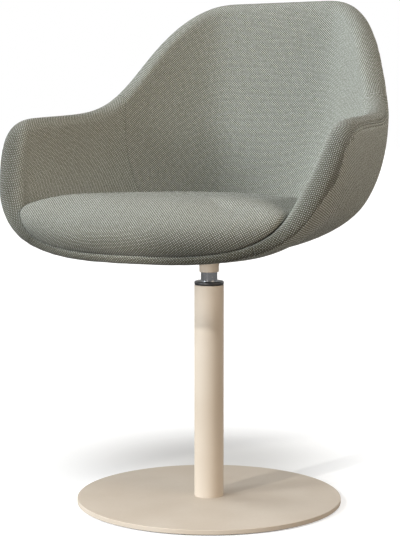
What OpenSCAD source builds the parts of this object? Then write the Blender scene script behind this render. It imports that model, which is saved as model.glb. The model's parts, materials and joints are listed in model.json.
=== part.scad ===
// Swivel armchair: an upholstered bucket shell with a loose seat cushion, on a round pedestal base.
// The origin is on the swivel axis at the floor. +Z is up, the sitter faces -Y and +X is the sitter's left.
// All lengths are in millimetres.

/* [Base] */
// Diameter of the round base plate
base_d = 450; // [400:5:600]
// Thickness of the base plate
base_t = 8; // [6:0.5:14]
// Chamfer of the base plate's edges
base_edge = 0.8; // [0.4:0.1:1.5]
// Thickness of the felt pad under the base plate
pad_t = 2; // [1:0.5:4]
// Width of the plate's rim that the pad leaves free
pad_margin = 6; // [3:1:20]

/* [Column] */
// Outer diameter of the column tube
column_d = 50; // [48:1:60]
// Wall of the column tube
column_wall = 2.5; // [2:0.25:3]
// Height of the column tube's top edge above the floor
column_top = 372; // [340:1:420]
// Height of the turned plug that closes the foot of the column
plug_h = 24; // [20:1:40]
// Thread diameter of the screws that hold the column to the plate
foot_screw_d = 6; // [5:1:6]
// Length of those screws, measured from the plate's underside
foot_screw_l = 22; // [18:1:24]
// Number of those screws
foot_screw_n = 4; // [3:1:6]
// Diameter of the circle that the screws lie on
foot_screw_pcd = 28; // [26:1:30]

/* [Swivel] */
// Diameter of the chrome spindle
spindle_d = 28; // [26:0.5:30]
// Wall of the spindle tube
spindle_wall = 3; // [2.5:0.5:4]
// Depth of the spindle's shoulder below the column's top edge
spindle_depth = 135; // [125:1:180]
// Length of bare chrome between the sleeve and the hub
chrome_l = 15; // [10:1:40]
// Length of the guide sleeve inside the column
sleeve_l = 60; // [40:1:75]
// Height of the sleeve's lip on top of the column
sleeve_lip_h = 7; // [6:0.5:10]
// Rounding of the sleeve's lip
sleeve_lip_r = 2.5; // [1:0.25:2.75]
// Height of the lower guide bush
bush_h = 22; // [15:1:30]
// Height of the lower bush above the spindle's shoulder
bush_lift = 10; // [6:1:15]
// Ball diameter of the thrust bearing
ball_d = 5; // [4:0.5:5.5]
// Number of balls
ball_n = 10; // [6:1:10]
// Thickness of each bearing race
race_t = 3; // [2.5:0.25:4]
// Outer diameter of the races
race_d = 31; // [30:0.5:34]
// Depth of the ball grooves
groove_depth = 0.8; // [0.5:0.1:1]
// Thickness of the ball cage
cage_t = 2.4; // [2:0.1:2.6]
// Thickness of the shelf that carries the bearing
shelf_t = 6; // [4:0.5:10]
// Diameter of the stud that passes through the bearing
stud_d = 12; // [10:0.5:13]
// Height of the flange between the spindle tube and the stud
flange_t = 4; // [3:0.5:8]
// Depth of the spindle foot's spigot inside the tube
spigot_l = 20; // [12:1:40]
// Thickness of the end washer under the shelf
end_washer_t = 2; // [1.5:0.25:3]
// Diameter of the end washer
end_washer_d = 24; // [20:1:30]
// Thickness of the retaining clip
clip_t = 1.2; // [1:0.1:2]
// Width of the retaining clip's ring outside the stud
clip_reach = 3; // [2:0.5:4]
// Depth of the clip's groove in the stud
clip_groove = 0.8; // [0.5:0.1:1.2]
// Length of the stud below the clip
stud_end_l = 4; // [2:0.5:8]

/* [Seat mounting] */
// Diameter of the hub at its lower end
hub_d = 33; // [32.5:0.5:40]
// Diameter of the hub under the mounting plate
hub_top_d = 35; // [33.5:0.5:48]
// Height of the hub
hub_h = 29; // [22:1:60]
// Width of the square mounting plate
plate_w = 140; // [132:1:150]
// Thickness of the mounting plate
plate_t = 6; // [4:0.5:8]
// Corner radius of the mounting plate
plate_corner_r = 12; // [6:1:14]
// Distance between the seat bolts, both ways
bolt_spacing = 100; // [90:1:106]
// Thread diameter of the seat bolts
bolt_d = 8; // [6:1:8]
// Diameter of the bolts' button heads
bolt_head_d = 14; // [13:0.5:16]
// Height of the bolts' button heads
bolt_head_h = 4.4; // [3:0.1:5]
// Diameter of the bolts' washers
washer_d = 17; // [16:0.5:20]
// Thickness of the bolts' washers
washer_t = 1.6; // [1:0.1:2.5]
// Diameter of the threaded inserts' barrels
insert_d = 10.5; // [10.5:0.5:12]
// Diameter of the inserts' flanges
insert_flange_d = 20; // [16:1:24]
// Thickness of the inserts' flanges
insert_flange_t = 1.2; // [0.8:0.1:1.4]

/* [Shell] */
// Half width of the guide line that the shell's rim follows
rim_half_w = 288; // [260:1:320]
// Reach of the rim's guide line behind the swivel axis
rim_back = 282; // [260:1:310]
// Reach of the rim's guide line in front of the swivel axis
rim_front = 272; // [250:1:300]
// Rise of the arms above the seat pan
arm_rise = 215; // [180:1:240]
// Rise of the back above the arms
back_rise = 210; // [150:1:280]
// Thickness of the upholstered wall at the arms and back
wall_t = 42; // [34:1:50]
// Thickness of the seat pan and its front lip
lip_t = 15; // [14:0.5:20]
// Height above the pan at which the wall reaches its full thickness
thicken_h = 90; // [70:1:130]
// Thickness of the moulded core
core_t = 6; // [5:0.5:7]
// Thickness of the upholstery fabric with its lining
cover_t = 1.2; // [0.8:0.1:1.6]

/* [Seat cushion] */
// Height of the cushion's edge above the seat pan
cushion_rise = 74; // [60:1:90]
// Rise of the crown above the cushion's edge
crown_rise = 6; // [2:1:20]
// Space between the cushion and the seat pan
cushion_gap = 0.5; // [0.3:0.1:1.5]
// Space between the cushion's side and the shell
side_gap = 2.4; // [2:0.1:4]

/* [Hidden] */

$fn = 96;
// Sides of the clearance holes through the soft layers
soft_hole_n = 12;
// How far a cut runs past the face that it starts from
overrun = 1;
// Radial gap of a fixed fit, of a running shaft, and the gap between other pieces that turn on each other
fixed_gap = 0.02;
shaft_gap = 0.05;
run_gap = 0.3;
// Gap between two layers of the upholstery
layer_gap = 0.3;
// Radial clearance of a bolt in the plate and in the layers above it
bolt_gap = 0.5;

// Colours
sand = "#cdbeac";
black = "#1c1c1e";
chrome = "#c9cccf";
steel = "#8d9094";
felt = "#3c3b39";
fabric = "#8f9589";
fabric_light = "#9da497";
foam = "#d9cf9f";
board = "#b08d5e";

// Heights of the base and the column
plate_bottom = pad_t;
plate_top = pad_t + base_t;
tube_r = column_d / 2 - column_wall;

// Heights of the bearing, from the spindle's shoulder down
shoulder_z = column_top - spindle_depth;
ball_r = ball_d / 2;
race_lift = ball_r + run_gap - groove_depth;
ball_z = shoulder_z - race_t - race_lift;
shelf_top = ball_z - race_lift - race_t;
shelf_bottom = shelf_top - shelf_t;
stud_r = stud_d / 2;
// How far the lower race stays clear of the turning stud
race_bore_gap = 1;
ball_ring_r = (stud_r + race_bore_gap + race_d / 2) / 2;
end_washer_top = shelf_bottom - run_gap;
clip_top = end_washer_top - end_washer_t - run_gap;
stud_bottom = clip_top - clip_t - stud_end_l;

// Heights of the seat mounting
hub_bottom = column_top + sleeve_lip_h + chrome_l;
hub_top = hub_bottom + hub_h;
mount_top = hub_top + plate_t;
spindle_r = spindle_d / 2;
spindle_top = hub_top - run_gap;
bolt_places = [for (x = [-1, 1], y = [-1, 1]) [x * bolt_spacing / 2, y * bolt_spacing / 2, 0]];

// Middle height of the flat seat pan, from which the whole shell is raised
pan_z = mount_top + layer_gap + lip_t / 2;
core_top = pan_z + core_t / 2;

// The rim of the shell is a closed cubic spline. Its guide line runs from the middle of the back over the
// left arm to the middle of the front lip, and the right half mirrors it. Each row holds shares of the half
// width, of the reach behind (positive) or in front (negative), of the arm's rise and of the back's rise.
rim_shares = [
    [0, 1, 1, 1], [0.26, 1, 1, 1], [0.43, 0.98, 1, 1], [0.565, 0.865, 1, 0.9],
    [0.675, 0.74, 1, 0.725], [0.757, 0.62, 1, 0.515], [0.83, 0.505, 1, 0.29], [0.9, 0.36, 1, 0.11],
    [0.955, 0.18, 1.01, 0.03], [0.985, -0.055, 1.02, 0], [1.01, -0.29, 1.005, 0], [1.025, -0.515, 0.985, 0],
    [0.99, -0.62, 0.715, 0], [0.905, -0.765, 0.375, 0], [0.78, -0.85, 0.17, 0], [0.6, -0.91, 0.06, 0],
    [0.35, -0.975, 0, 0], [0, -1, 0, 0]];
// From the pan to the rim each section is one Bezier curve. Its two handles are shares of the rim point's
// width, depth and height above the pan, and the flat pan ends at a share of the first handle.
heel_shares = [0.66, 0.815, 0.05];
wall_shares = [1.03, 0.925, 0.29];
pan_share = 0.46;
// Places along a section where it is divided, as shares of its length before the rounded rim
row_shares = [0, 0.22, 0.42, 0.6, 0.76, 0.89, 1];
// Angles at which the rounded rim is divided
rim_angles = [45, 90, 135];
// Sections per stretch of the guide line
span_steps = 2;
// Sections where the seams between the back, the arms and the front lip lie, counted from the middle of the back
arm_seam = 13;
lip_seam = 29;

function unit(v) = v / norm(v);
function ease(x) = let (u = min(max(x, 0), 1)) u * u * (3 - 2 * u);
function blend(a, b, share) = a + (b - a) * share;
function spline(a, b, c, d, u) =
    (pow(1 - u, 3) * a + (3 * pow(u, 3) - 6 * pow(u, 2) + 4) * b
     + (-3 * pow(u, 3) + 3 * pow(u, 2) + 3 * u + 1) * c + pow(u, 3) * d) / 6;
function bezier(a, b, c, d, u) =
    pow(1 - u, 3) * a + 3 * pow(1 - u, 2) * u * b + 3 * (1 - u) * pow(u, 2) * c + pow(u, 3) * d;
function bezier_slope(a, b, c, d, u) =
    3 * pow(1 - u, 2) * (b - a) + 6 * (1 - u) * u * (c - b) + 3 * pow(u, 2) * (d - c);

// The rim's points, one for each section
guide_half = [for (s = rim_shares)
    [s[0] * rim_half_w, s[1] * (s[1] > 0 ? rim_back : rim_front), pan_z + s[2] * arm_rise + s[3] * back_rise]];
guide = concat(guide_half,
    [for (i = [len(guide_half) - 2 : -1 : 1]) [-guide_half[i][0], guide_half[i][1], guide_half[i][2]]]);
spans = len(guide);
sections = spans * span_steps;
rim = [for (c = [0 : sections - 1]) let (i = floor(c / span_steps), u = (c % span_steps) / span_steps)
    spline(guide[(i + spans - 1) % spans], guide[i], guide[(i + 1) % spans], guide[(i + 2) % spans], u)];

// Handles of each section, its half thickness and where its rounded rim begins
function handle(p, shares) = [p[0] * shares[0], p[1] * shares[1], pan_z + (p[2] - pan_z) * shares[2]];
heel = [for (p = rim) handle(p, heel_shares)];
wall = [for (p = rim) handle(p, wall_shares)];
pan = [for (p = heel) [p[0] * pan_share, p[1] * pan_share, pan_z]];
function half_t(z) = blend(lip_t, wall_t, ease((z - pan_z) / thicken_h)) / 2;
rim_r = [for (p = rim) half_t(p[2])];
round_from = [for (c = [0 : sections - 1]) 1 - rim_r[c] / (3 * norm(rim[c] - wall[c]))];

// Middle surface of the shell and its normals, which point to the sitter
last_row = len(row_shares) - 1;
function middle(c, r) = bezier(pan[c], heel[c], wall[c], rim[c], row_shares[r] * round_from[c]);
function climb(c, r) = unit(bezier_slope(pan[c], heel[c], wall[c], rim[c], row_shares[r] * round_from[c]));
mids = [for (c = [0 : sections - 1]) [for (r = [0 : last_row]) middle(c, r)]];
climbs = [for (c = [0 : sections - 1]) [for (r = [0 : last_row]) climb(c, r)]];
normals = [for (c = [0 : sections - 1]) [for (r = [0 : last_row])
    r == 0 ? [0, 0, 1]
    : unit(cross(mids[(c + 1) % sections][r] - mids[(c + sections - 1) % sections][r], climbs[c][r]))]];

// Stations run from the pan's edge up the inner face, round the rim and down the outer face
rim_start = last_row;
rim_end = last_row + len(rim_angles) + 1;
stations = rim_end + last_row + 1;
// A point of the shell's skin at a section and a station. A positive inset lies below the skin, and a fixed
// half thickness replaces the padded one.
function skin_point(c, k, inset = 0, fixed_half = 0) =
    let (row = k <= rim_start ? k : k < rim_end ? last_row : stations - 1 - k,
         half = (fixed_half > 0 ? fixed_half : half_t(mids[c][row][2])) - inset,
         turn = k <= rim_start ? 0 : k < rim_end ? rim_angles[k - rim_start - 1] : 180)
    mids[c][row] + half * (cos(turn) * normals[c][row] + sin(turn) * climbs[c][row]);
function skin_ring(k, inset = 0, fixed_half = 0) =
    [for (c = [0 : sections - 1]) skin_point(c, k, inset, fixed_half)];
function skin_rings(ks, inset = 0, fixed_half = 0) = [for (k = ks) skin_ring(k, inset, fixed_half)];

// Two triangles from the square at a section. The right half is split the mirrored way.
function split(a, b, c, d, section, turned = false) =
    ((section + sections) % sections >= sections / 2) != turned
        ? [[b, c, d], [b, d, a]] : [[a, b, c], [a, c, d]];

// A closed solid from rings of points between an upper and a lower pole. The strips in the list run against
// the order of the stations, and their squares are split the other way, so that layers stay parallel.
module ringed_solid(rings, upper, lower, backward = []) {
    n = len(rings[0]);
    count = len(rings);
    points = concat([upper], [for (ring = rings) each ring], [lower]);
    function at(k, c) = 1 + k * n + (c % n);
    faces = concat(
        [for (c = [0 : n - 1]) [0, at(0, c), at(0, c + 1)]],
        [for (k = [0 : count - 2], c = [0 : n - 1])
            each split(at(k, c), at(k + 1, c), at(k + 1, c + 1), at(k, c + 1), c,
                len(search(k, backward)) > 0)],
        [for (c = [0 : n - 1]) [at(count - 1, c), 1 + count * n, at(count - 1, c + 1)]]);
    polyhedron(points, faces);
}

// One panel of the cover, between two stations and two sections of the skin
module skin_panel(first_station, last_station, first_section, last_section) {
    rows = last_station - first_station + 1;
    cols = last_section - first_section + 1;
    function face(inset) = [for (k = [first_station : last_station], c = [first_section : last_section])
        skin_point((c + sections) % sections, k, inset)];
    function up(i, j) = i * cols + j;
    function low(i, j) = rows * cols + i * cols + j;
    function quad(a, b, c, d) = [[a, b, c], [a, c, d]];
    function at(j) = first_section + j;
    polyhedron(concat(face(0), face(cover_t)), concat(
        [for (i = [0 : rows - 2], j = [0 : cols - 2])
            each split(up(i, j), up(i + 1, j), up(i + 1, j + 1), up(i, j + 1), at(j))],
        [for (i = [0 : rows - 2], j = [0 : cols - 2])
            each split(low(i, j), low(i, j + 1), low(i + 1, j + 1), low(i + 1, j), at(j))],
        [for (i = [0 : rows - 2]) each quad(up(i + 1, 0), up(i, 0), low(i, 0), low(i + 1, 0))],
        [for (i = [0 : rows - 2])
            each quad(up(i, cols - 1), up(i + 1, cols - 1), low(i + 1, cols - 1), low(i, cols - 1))],
        [for (j = [0 : cols - 2]) each quad(up(0, j), up(0, j + 1), low(0, j + 1), low(0, j))],
        [for (j = [0 : cols - 2])
            each quad(up(rows - 1, j + 1), up(rows - 1, j), low(rows - 1, j), low(rows - 1, j + 1))]));
}

// Holes for the seat bolts through a soft layer or the core
module bolt_holes(d, bottom, top) {
    r = (d / 2 + bolt_gap) / cos(180 / soft_hole_n);
    for (place = bolt_places)
        translate([place[0], place[1], bottom])
            cylinder(h = top - bottom, r = r, $fn = soft_hole_n);
}

module ring(outer_r, inner_r, bottom, top) {
    translate([0, 0, bottom])
        difference() {
            cylinder(h = top - bottom, r = outer_r);
            translate([0, 0, -overrun]) cylinder(h = top - bottom + 2 * overrun, r = inner_r);
        }
}

// Base

module floor_pad() {
    color(felt) cylinder(h = pad_t, d = base_d - 2 * pad_margin);
}

foot_head_r = foot_screw_d;
foot_head_h = foot_head_r - foot_screw_d / 2;
foot_places = [for (i = [0 : foot_screw_n - 1]) (i + 0.5) * 360 / foot_screw_n];

module base_plate() {
    r = base_d / 2;
    color(sand)
        difference() {
            translate([0, 0, plate_bottom])
                rotate_extrude()
                    polygon([[0, 0], [r - base_edge, 0], [r, base_edge], [r, base_t - base_edge],
                        [r - base_edge, base_t], [0, base_t]]);
            for (a = foot_places)
                rotate([0, 0, a]) translate([foot_screw_pcd / 2, 0, plate_bottom]) {
                    translate([0, 0, -overrun])
                        cylinder(h = base_t + 2 * overrun, r = foot_screw_d / 2 + shaft_gap);
                    countersink(shaft_gap);
                }
        }
}

module countersink(gap) {
    r = foot_head_r + gap;
    rotate_extrude() polygon([[0, 0], [r, 0], [foot_screw_d / 2 + gap, foot_head_h], [0, foot_head_h]]);
}

module foot_screws() {
    key_r = foot_screw_d * 0.4;
    color(steel)
        for (a = foot_places)
            rotate([0, 0, a]) translate([foot_screw_pcd / 2, 0, plate_bottom])
                difference() {
                    union() {
                        countersink(0);
                        cylinder(h = foot_screw_l, d = foot_screw_d);
                    }
                    translate([0, 0, -overrun]) cylinder(h = overrun + foot_head_h * 0.7, r = key_r, $fn = 6);
                }
}

module column_plug() {
    hole_top = plate_bottom + foot_screw_l + overrun;
    color(steel)
        difference() {
            translate([0, 0, plate_top]) cylinder(h = plug_h, r = tube_r - fixed_gap);
            for (a = foot_places)
                rotate([0, 0, a]) translate([foot_screw_pcd / 2, 0, plate_top - overrun])
                    cylinder(h = hole_top - plate_top + overrun, r = foot_screw_d / 2 + shaft_gap);
        }
}

module column_tube() {
    color(sand) ring(column_d / 2, tube_r, plate_top, column_top);
}

// Bearing and guides in the column

module bearing_shelf() {
    color(steel) ring(tube_r - fixed_gap, stud_r + run_gap, shelf_bottom, shelf_top);
}

module race(bottom, bore_r) {
    difference() {
        ring(race_d / 2, bore_r, bottom, bottom + race_t);
        translate([0, 0, ball_z]) rotate_extrude() translate([ball_ring_r, 0]) circle(r = ball_r + run_gap);
    }
}

module lower_race() {
    color(steel) race(shelf_top, stud_r + race_bore_gap);
}

module upper_race() {
    color(steel) race(shoulder_z - race_t, stud_r + fixed_gap);
}

module ball_places() {
    for (i = [0 : ball_n - 1])
        rotate([0, 0, i * 360 / ball_n]) translate([ball_ring_r, 0, ball_z]) children();
}

module bearing_balls() {
    color(chrome) ball_places() sphere(r = ball_r);
}

module ball_cage() {
    web = ball_r / 2;
    color(black)
        difference() {
            ring(ball_ring_r + ball_r + web, ball_ring_r - ball_r - web, ball_z - cage_t / 2, ball_z + cage_t / 2);
            ball_places() translate([0, 0, -ball_r]) cylinder(h = ball_d, r = ball_r + run_gap);
        }
}

module guide_sleeve() {
    bore_r = spindle_r + shaft_gap;
    outer_r = column_d / 2;
    r = sleeve_lip_r;
    color(black) {
        ring(tube_r - fixed_gap, bore_r, column_top - sleeve_l, column_top);
        translate([0, 0, column_top])
            rotate_extrude() {
                translate([bore_r, 0]) square([outer_r - r - bore_r, sleeve_lip_h]);
                translate([bore_r, r]) square([outer_r - bore_r, sleeve_lip_h - 2 * r]);
                for (z = [r, sleeve_lip_h - r]) translate([outer_r - r, z]) circle(r = r);
            }
    }
}

module lower_bush() {
    bottom = shoulder_z + bush_lift;
    color(black) ring(tube_r - fixed_gap, spindle_r + shaft_gap, bottom, bottom + bush_h);
}

// Spindle

module spindle_foot() {
    groove_bottom = clip_top - clip_t - run_gap;
    spigot_r = spindle_r - spindle_wall - fixed_gap;
    color(steel)
        difference() {
            union() {
                translate([0, 0, shoulder_z]) cylinder(h = flange_t, r = spindle_r);
                translate([0, 0, shoulder_z]) cylinder(h = flange_t + spigot_l, r = spigot_r);
                translate([0, 0, stud_bottom]) cylinder(h = shoulder_z - stud_bottom, r = stud_r);
            }
            ring(stud_r + overrun, stud_r - clip_groove, groove_bottom, clip_top);
        }
}

module spindle_tube() {
    color(chrome) ring(spindle_r, spindle_r - spindle_wall, shoulder_z + flange_t, spindle_top);
}

module end_washer() {
    color(steel)
        ring(end_washer_d / 2, stud_r + fixed_gap, end_washer_top - end_washer_t, end_washer_top);
}

module retaining_clip() {
    bottom = clip_top - clip_t;
    color(steel)
        difference() {
            ring(stud_r + clip_reach, stud_r - clip_groove + fixed_gap, bottom, clip_top - fixed_gap);
            translate([0, -stud_r / 2, bottom - overrun])
                cube([stud_r + clip_reach + overrun, stud_r, clip_t + 2 * overrun]);
        }
}

// Seat mounting

module seat_hub() {
    bore_r = spindle_r + fixed_gap;
    chamfer = (hub_d / 2 - bore_r) / 3;
    color(sand)
        translate([0, 0, hub_bottom])
            rotate_extrude()
                polygon([[bore_r, 0], [hub_d / 2 - chamfer, 0], [hub_d / 2, chamfer], [hub_d / 2, hub_h / 3],
                    [hub_top_d / 2, hub_h / 2], [hub_top_d / 2, hub_h], [bore_r, hub_h]]);
}

module mounting_plate() {
    half = plate_w / 2;
    r = plate_corner_r;
    color(sand)
        difference() {
            translate([0, 0, hub_top])
                linear_extrude(height = plate_t) {
                    square([plate_w - 2 * r, plate_w], center = true);
                    square([plate_w, plate_w - 2 * r], center = true);
                    for (x = [r - half, half - r], y = [r - half, half - r]) translate([x, y]) circle(r = r);
                }
            for (place = bolt_places)
                translate([place[0], place[1], hub_top - overrun])
                    cylinder(h = plate_t + 2 * overrun, r = bolt_d / 2 + bolt_gap);
        }
}

module seat_bolts() {
    seat = hub_top - washer_t;
    key_r = bolt_d * 0.35;
    color(black)
        for (place = bolt_places)
            translate([place[0], place[1], seat])
                difference() {
                    union() {
                        translate([0, 0, -bolt_head_h])
                            cylinder(h = bolt_head_h, r1 = bolt_head_d * 0.35, r2 = bolt_head_d / 2);
                        cylinder(h = core_top - seat, d = bolt_d);
                    }
                    translate([0, 0, -bolt_head_h - overrun])
                        cylinder(h = overrun + bolt_head_h / 2, r = key_r, $fn = 6);
                }
}

module bolt_washers() {
    color(steel)
        for (place = bolt_places)
            translate(place) ring(washer_d / 2, bolt_d / 2 + shaft_gap, hub_top - washer_t, hub_top);
}

module threaded_inserts() {
    color(steel)
        for (place = bolt_places)
            translate(place) {
                ring(insert_d / 2, bolt_d / 2 + shaft_gap, core_top - core_t, core_top);
                ring(insert_flange_d / 2, bolt_d / 2 + shaft_gap, core_top, core_top + insert_flange_t);
            }
}

// Shell

inner_stations = [for (k = [0 : rim_start]) k];
outer_stations = [for (k = [rim_end : stations - 1]) k];
core_stations = concat(inner_stations, [(rim_start + rim_end) / 2], outer_stations);

module core_form(gap) {
    half = core_t / 2;
    ringed_solid(skin_rings(core_stations, -gap, half), [0, 0, pan_z + half + gap], [0, 0, pan_z - half - gap]);
}

module shell_core() {
    color(board)
        difference() {
            core_form(0);
            bolt_holes(insert_d, pan_z - core_t, pan_z + core_t);
        }
}

module shell_foam() {
    inset = cover_t + layer_gap;
    half = lip_t / 2 - inset;
    flange_r = insert_flange_d / 2 + bolt_gap;
    color(foam)
        difference() {
            ringed_solid(skin_rings([for (k = [0 : stations - 1]) k], inset), [0, 0, pan_z + half], [0, 0, pan_z - half]);
            core_form(layer_gap);
            bolt_holes(bolt_d, pan_z - lip_t, pan_z);
            for (place = bolt_places)
                translate([place[0], place[1], pan_z])
                    cylinder(h = core_t / 2 + insert_flange_t + layer_gap, r = flange_r, $fn = soft_hole_n);
        }
}

module deck_cover() {
    half = lip_t / 2;
    color(fabric)
        ringed_solid(concat(skin_rings([0, 1]), skin_rings([1, 0], cover_t)), [0, 0, pan_z + half],
            [0, 0, pan_z + half - cover_t], backward = [2]);
}

module back_cover() {
    color(fabric_light) skin_panel(1, rim_end, -arm_seam, arm_seam);
}

module left_arm_cover() {
    color(fabric) skin_panel(1, rim_end, arm_seam, lip_seam);
}

module right_arm_cover() {
    color(fabric) skin_panel(1, rim_end, -lip_seam, -arm_seam);
}

module front_lip_cover() {
    color(fabric_light) skin_panel(1, rim_end, lip_seam, sections - lip_seam);
}

module outer_cover() {
    half = lip_t / 2;
    inward = [for (k = [stations - 1 : -1 : rim_end]) k];
    color(fabric)
        difference() {
            ringed_solid(concat(skin_rings(inward, cover_t), skin_rings(outer_stations)),
                [0, 0, pan_z - half + cover_t], [0, 0, pan_z - half],
                backward = [for (i = [0 : len(inward) - 2]) i]);
            bolt_holes(bolt_d, pan_z - lip_t, pan_z);
        }
}

// Seat cushion

// The cushion's top falls this share of its length towards the back
cushion_slope_share = 0.03;
// Its edge lies on the shell's inner face, or at the front on this station of the lip's rounding
lip_station = rim_start + 1;
// Side and top of the cushion, as shares of the way out from the middle and of the way up from its edge
crown_shares = [[0.55, 0.99], [0.82, 0.88], [0.94, 0.64], [1, 0.38], [1.006, 0.16]];
// Rows of its underside, as shares of the way from the pan to the edge
under_shares = [rim_start / lip_station, 0.43, 0];
// How much further the edge of an inner layer draws in than the layer's thickness
edge_pull_share = 1.7;

function edge_z(y) = pan_z + cushion_rise - y * cushion_slope_share;
// Station, with its fraction, at which each section reaches the height of the cushion's edge
function edge_place(c, k = 0) = k >= lip_station ? lip_station
    : let (a = skin_point(c, k, -side_gap), b = skin_point(c, k + 1, -side_gap), over = b[2] - edge_z(b[1]))
      over < 0 ? edge_place(c, k + 1)
      : let (under = edge_z(a[1]) - a[2]) k + under / (under + over);
edge_places = [for (c = [0 : sections - 1]) edge_place(c)];
function bowl_point(c, place, depth) = let (k = min(floor(place), lip_station - 1))
    blend(skin_point(c, k, -depth), skin_point(c, k + 1, -depth), place - k);
edge = [for (c = [0 : sections - 1]) bowl_point(c, edge_places[c], side_gap)];
cushion_back = max([for (p = edge) p[1]]);
cushion_front = min([for (p = edge) p[1]]);
cushion_mid = (cushion_back + cushion_front) / 2;
cushion_reach = (cushion_back - cushion_front) / 2;
// Share of the cushion's height that stands free above its edge: none at the sides and back, most at the front
free_share = [for (p = edge) (edge_z(p[1]) - p[2]) / cushion_rise];

function edge_ring(d) = [for (c = [0 : sections - 1])
    let (p = bowl_point(c, edge_places[c], side_gap + d), pull = 1 - edge_pull_share * d / cushion_reach)
    [p[0] * pull, blend(cushion_mid, p[1], pull), edge[c][2] + d * (edge_pull_share * free_share[c] - 1)]];
function crown_point(p, shares, free, d) =
    let (out = shares[0] > 1 ? 1 + (shares[0] - 1) * free : shares[0], y = blend(cushion_mid, p[1], out))
    [p[0] * out, y, blend(p[2], edge_z(y) + crown_rise * (1 - min(out, 1)) - d, shares[1])];

module cushion_form(d) {
    rim_ring = edge_ring(d);
    top = [for (shares = crown_shares)
        [for (c = [0 : sections - 1]) crown_point(rim_ring[c], shares, free_share[c], d)]];
    under = [for (share = under_shares)
        [for (c = [0 : sections - 1])
            bowl_point(c, edge_places[c] * share, (share > 0 ? side_gap : cushion_gap) + d)]];
    ringed_solid(concat(top, [rim_ring], under), [0, cushion_mid, edge_z(cushion_mid) + crown_rise - d],
        [0, 0, pan_z + lip_t / 2 + cushion_gap + d]);
}

module cushion_foam() {
    color(foam) cushion_form(cover_t + 2 * layer_gap);
}

module cushion_cover() {
    color(fabric_light)
        difference() {
            cushion_form(0);
            cushion_form(cover_t);
        }
}

floor_pad();
base_plate();
foot_screws();
column_plug();
column_tube();
bearing_shelf();
lower_race();
guide_sleeve();
lower_bush();
ball_cage();
bearing_balls();
upper_race();
spindle_foot();
spindle_tube();
end_washer();
retaining_clip();
seat_hub();
mounting_plate();
seat_bolts();
bolt_washers();
threaded_inserts();
shell_core();
shell_foam();
deck_cover();
back_cover();
left_arm_cover();
right_arm_cover();
front_lip_cover();
outer_cover();
cushion_foam();
cushion_cover();
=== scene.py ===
# %% [markdown]
# # Pedestal swivel armchair
# This chair is an upholstered shell on a turned steel pedestal. Its rigid parts come from the imported model,
# so they only get a finish here. Its soft parts are made new: cloth panels cut flat and laid on the shell,
# the padding under them, the stitching that holds them and a loose cushion that swells over its filling.
# The first step loads the imported model as a fixed frame.

# %% Load the frame
import json
import math

import bpy
import numpy as np
from mathutils import Matrix, Vector


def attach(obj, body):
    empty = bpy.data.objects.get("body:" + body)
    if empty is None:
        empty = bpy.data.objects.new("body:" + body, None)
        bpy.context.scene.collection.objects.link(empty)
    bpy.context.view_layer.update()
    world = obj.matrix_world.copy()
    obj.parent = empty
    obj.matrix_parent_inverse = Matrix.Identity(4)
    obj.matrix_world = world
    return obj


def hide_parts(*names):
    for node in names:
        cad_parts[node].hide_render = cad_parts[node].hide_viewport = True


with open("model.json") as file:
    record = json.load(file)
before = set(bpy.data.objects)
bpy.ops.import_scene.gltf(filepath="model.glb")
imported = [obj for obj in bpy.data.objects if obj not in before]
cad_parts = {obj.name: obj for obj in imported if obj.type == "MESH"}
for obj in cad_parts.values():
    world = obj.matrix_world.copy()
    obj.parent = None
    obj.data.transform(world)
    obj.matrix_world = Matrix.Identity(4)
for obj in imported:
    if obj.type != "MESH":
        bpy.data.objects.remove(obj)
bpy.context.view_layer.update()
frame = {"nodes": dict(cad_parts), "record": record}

nodes = frame["nodes"]

# %% [markdown]
# Blender's operators act on whatever is selected, and all the nodes are selected after loading. Small
# helpers keep that in hand: one picks a single piece, one adds a new thing with nothing else selected and
# names it, and one applies a modifier at once, so that every piece ends as a plain mesh.

# %% Selecting, adding and applying
MM = 0.001


def pick(piece):
    """Selects one piece alone and makes it active."""
    bpy.ops.object.select_all(action="DESELECT")
    piece.select_set(True)
    bpy.context.view_layer.objects.active = piece


def named(name):
    """Names the active object and what it holds, and returns it."""
    made = bpy.context.object
    made.name = name
    made.data.name = name
    return made


def add(operator, name, **settings):
    """Adds something with nothing else selected, and names it."""
    bpy.ops.object.select_all(action="DESELECT")
    operator(**settings)
    return named(name)


def apply_modifier(piece, kind, **settings):
    """Adds a modifier with its settings to a piece and applies it."""
    pick(piece)
    modifier = piece.modifiers.new(kind.lower(), kind)
    for key, value in settings.items():
        setattr(modifier, key, value)
    bpy.ops.object.modifier_apply(modifier=modifier.name)


# %% [markdown]
# Edit mode works on the vertices and faces inside a piece. One helper runs an operator there on the whole
# of a piece. Two more read all of its vertices as rows of numbers and put them back, because a form that
# follows a curve is easier to work out for all its points at once than to push by hand.

# %% Editing
def edit(piece, operator, **settings):
    """Runs an operator on the whole of a piece in edit mode."""
    pick(piece)
    bpy.ops.object.mode_set(mode="EDIT")
    bpy.ops.mesh.select_all(action="SELECT")
    operator(**settings)
    bpy.ops.object.mode_set(mode="OBJECT")


def coordinates(piece):
    """The piece's vertices as an array of rows."""
    flat = np.empty(len(piece.data.vertices) * 3)
    piece.data.vertices.foreach_get("co", flat)
    return flat.reshape(-1, 3)


def move_vertices(piece, places):
    """Puts the piece's vertices at the rows of an array."""
    piece.data.vertices.foreach_set("co", np.ascontiguousarray(places, dtype=float).ravel())
    piece.data.update()


# %% [markdown]
# The camera stands where the photographer's did: about two and a half metres away, 28 degrees to the
# chair's left and as high as its arms, looking slightly down. A long lens keeps the column's edges almost
# parallel.

# %% Camera
camera_distance = 2.522
camera_height = 0.6488
camera_side = math.radians(28)
camera_pitch = 0.0985
camera_yaw = 0.0061
lens_length = 100.56
sensor_width = 36

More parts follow.
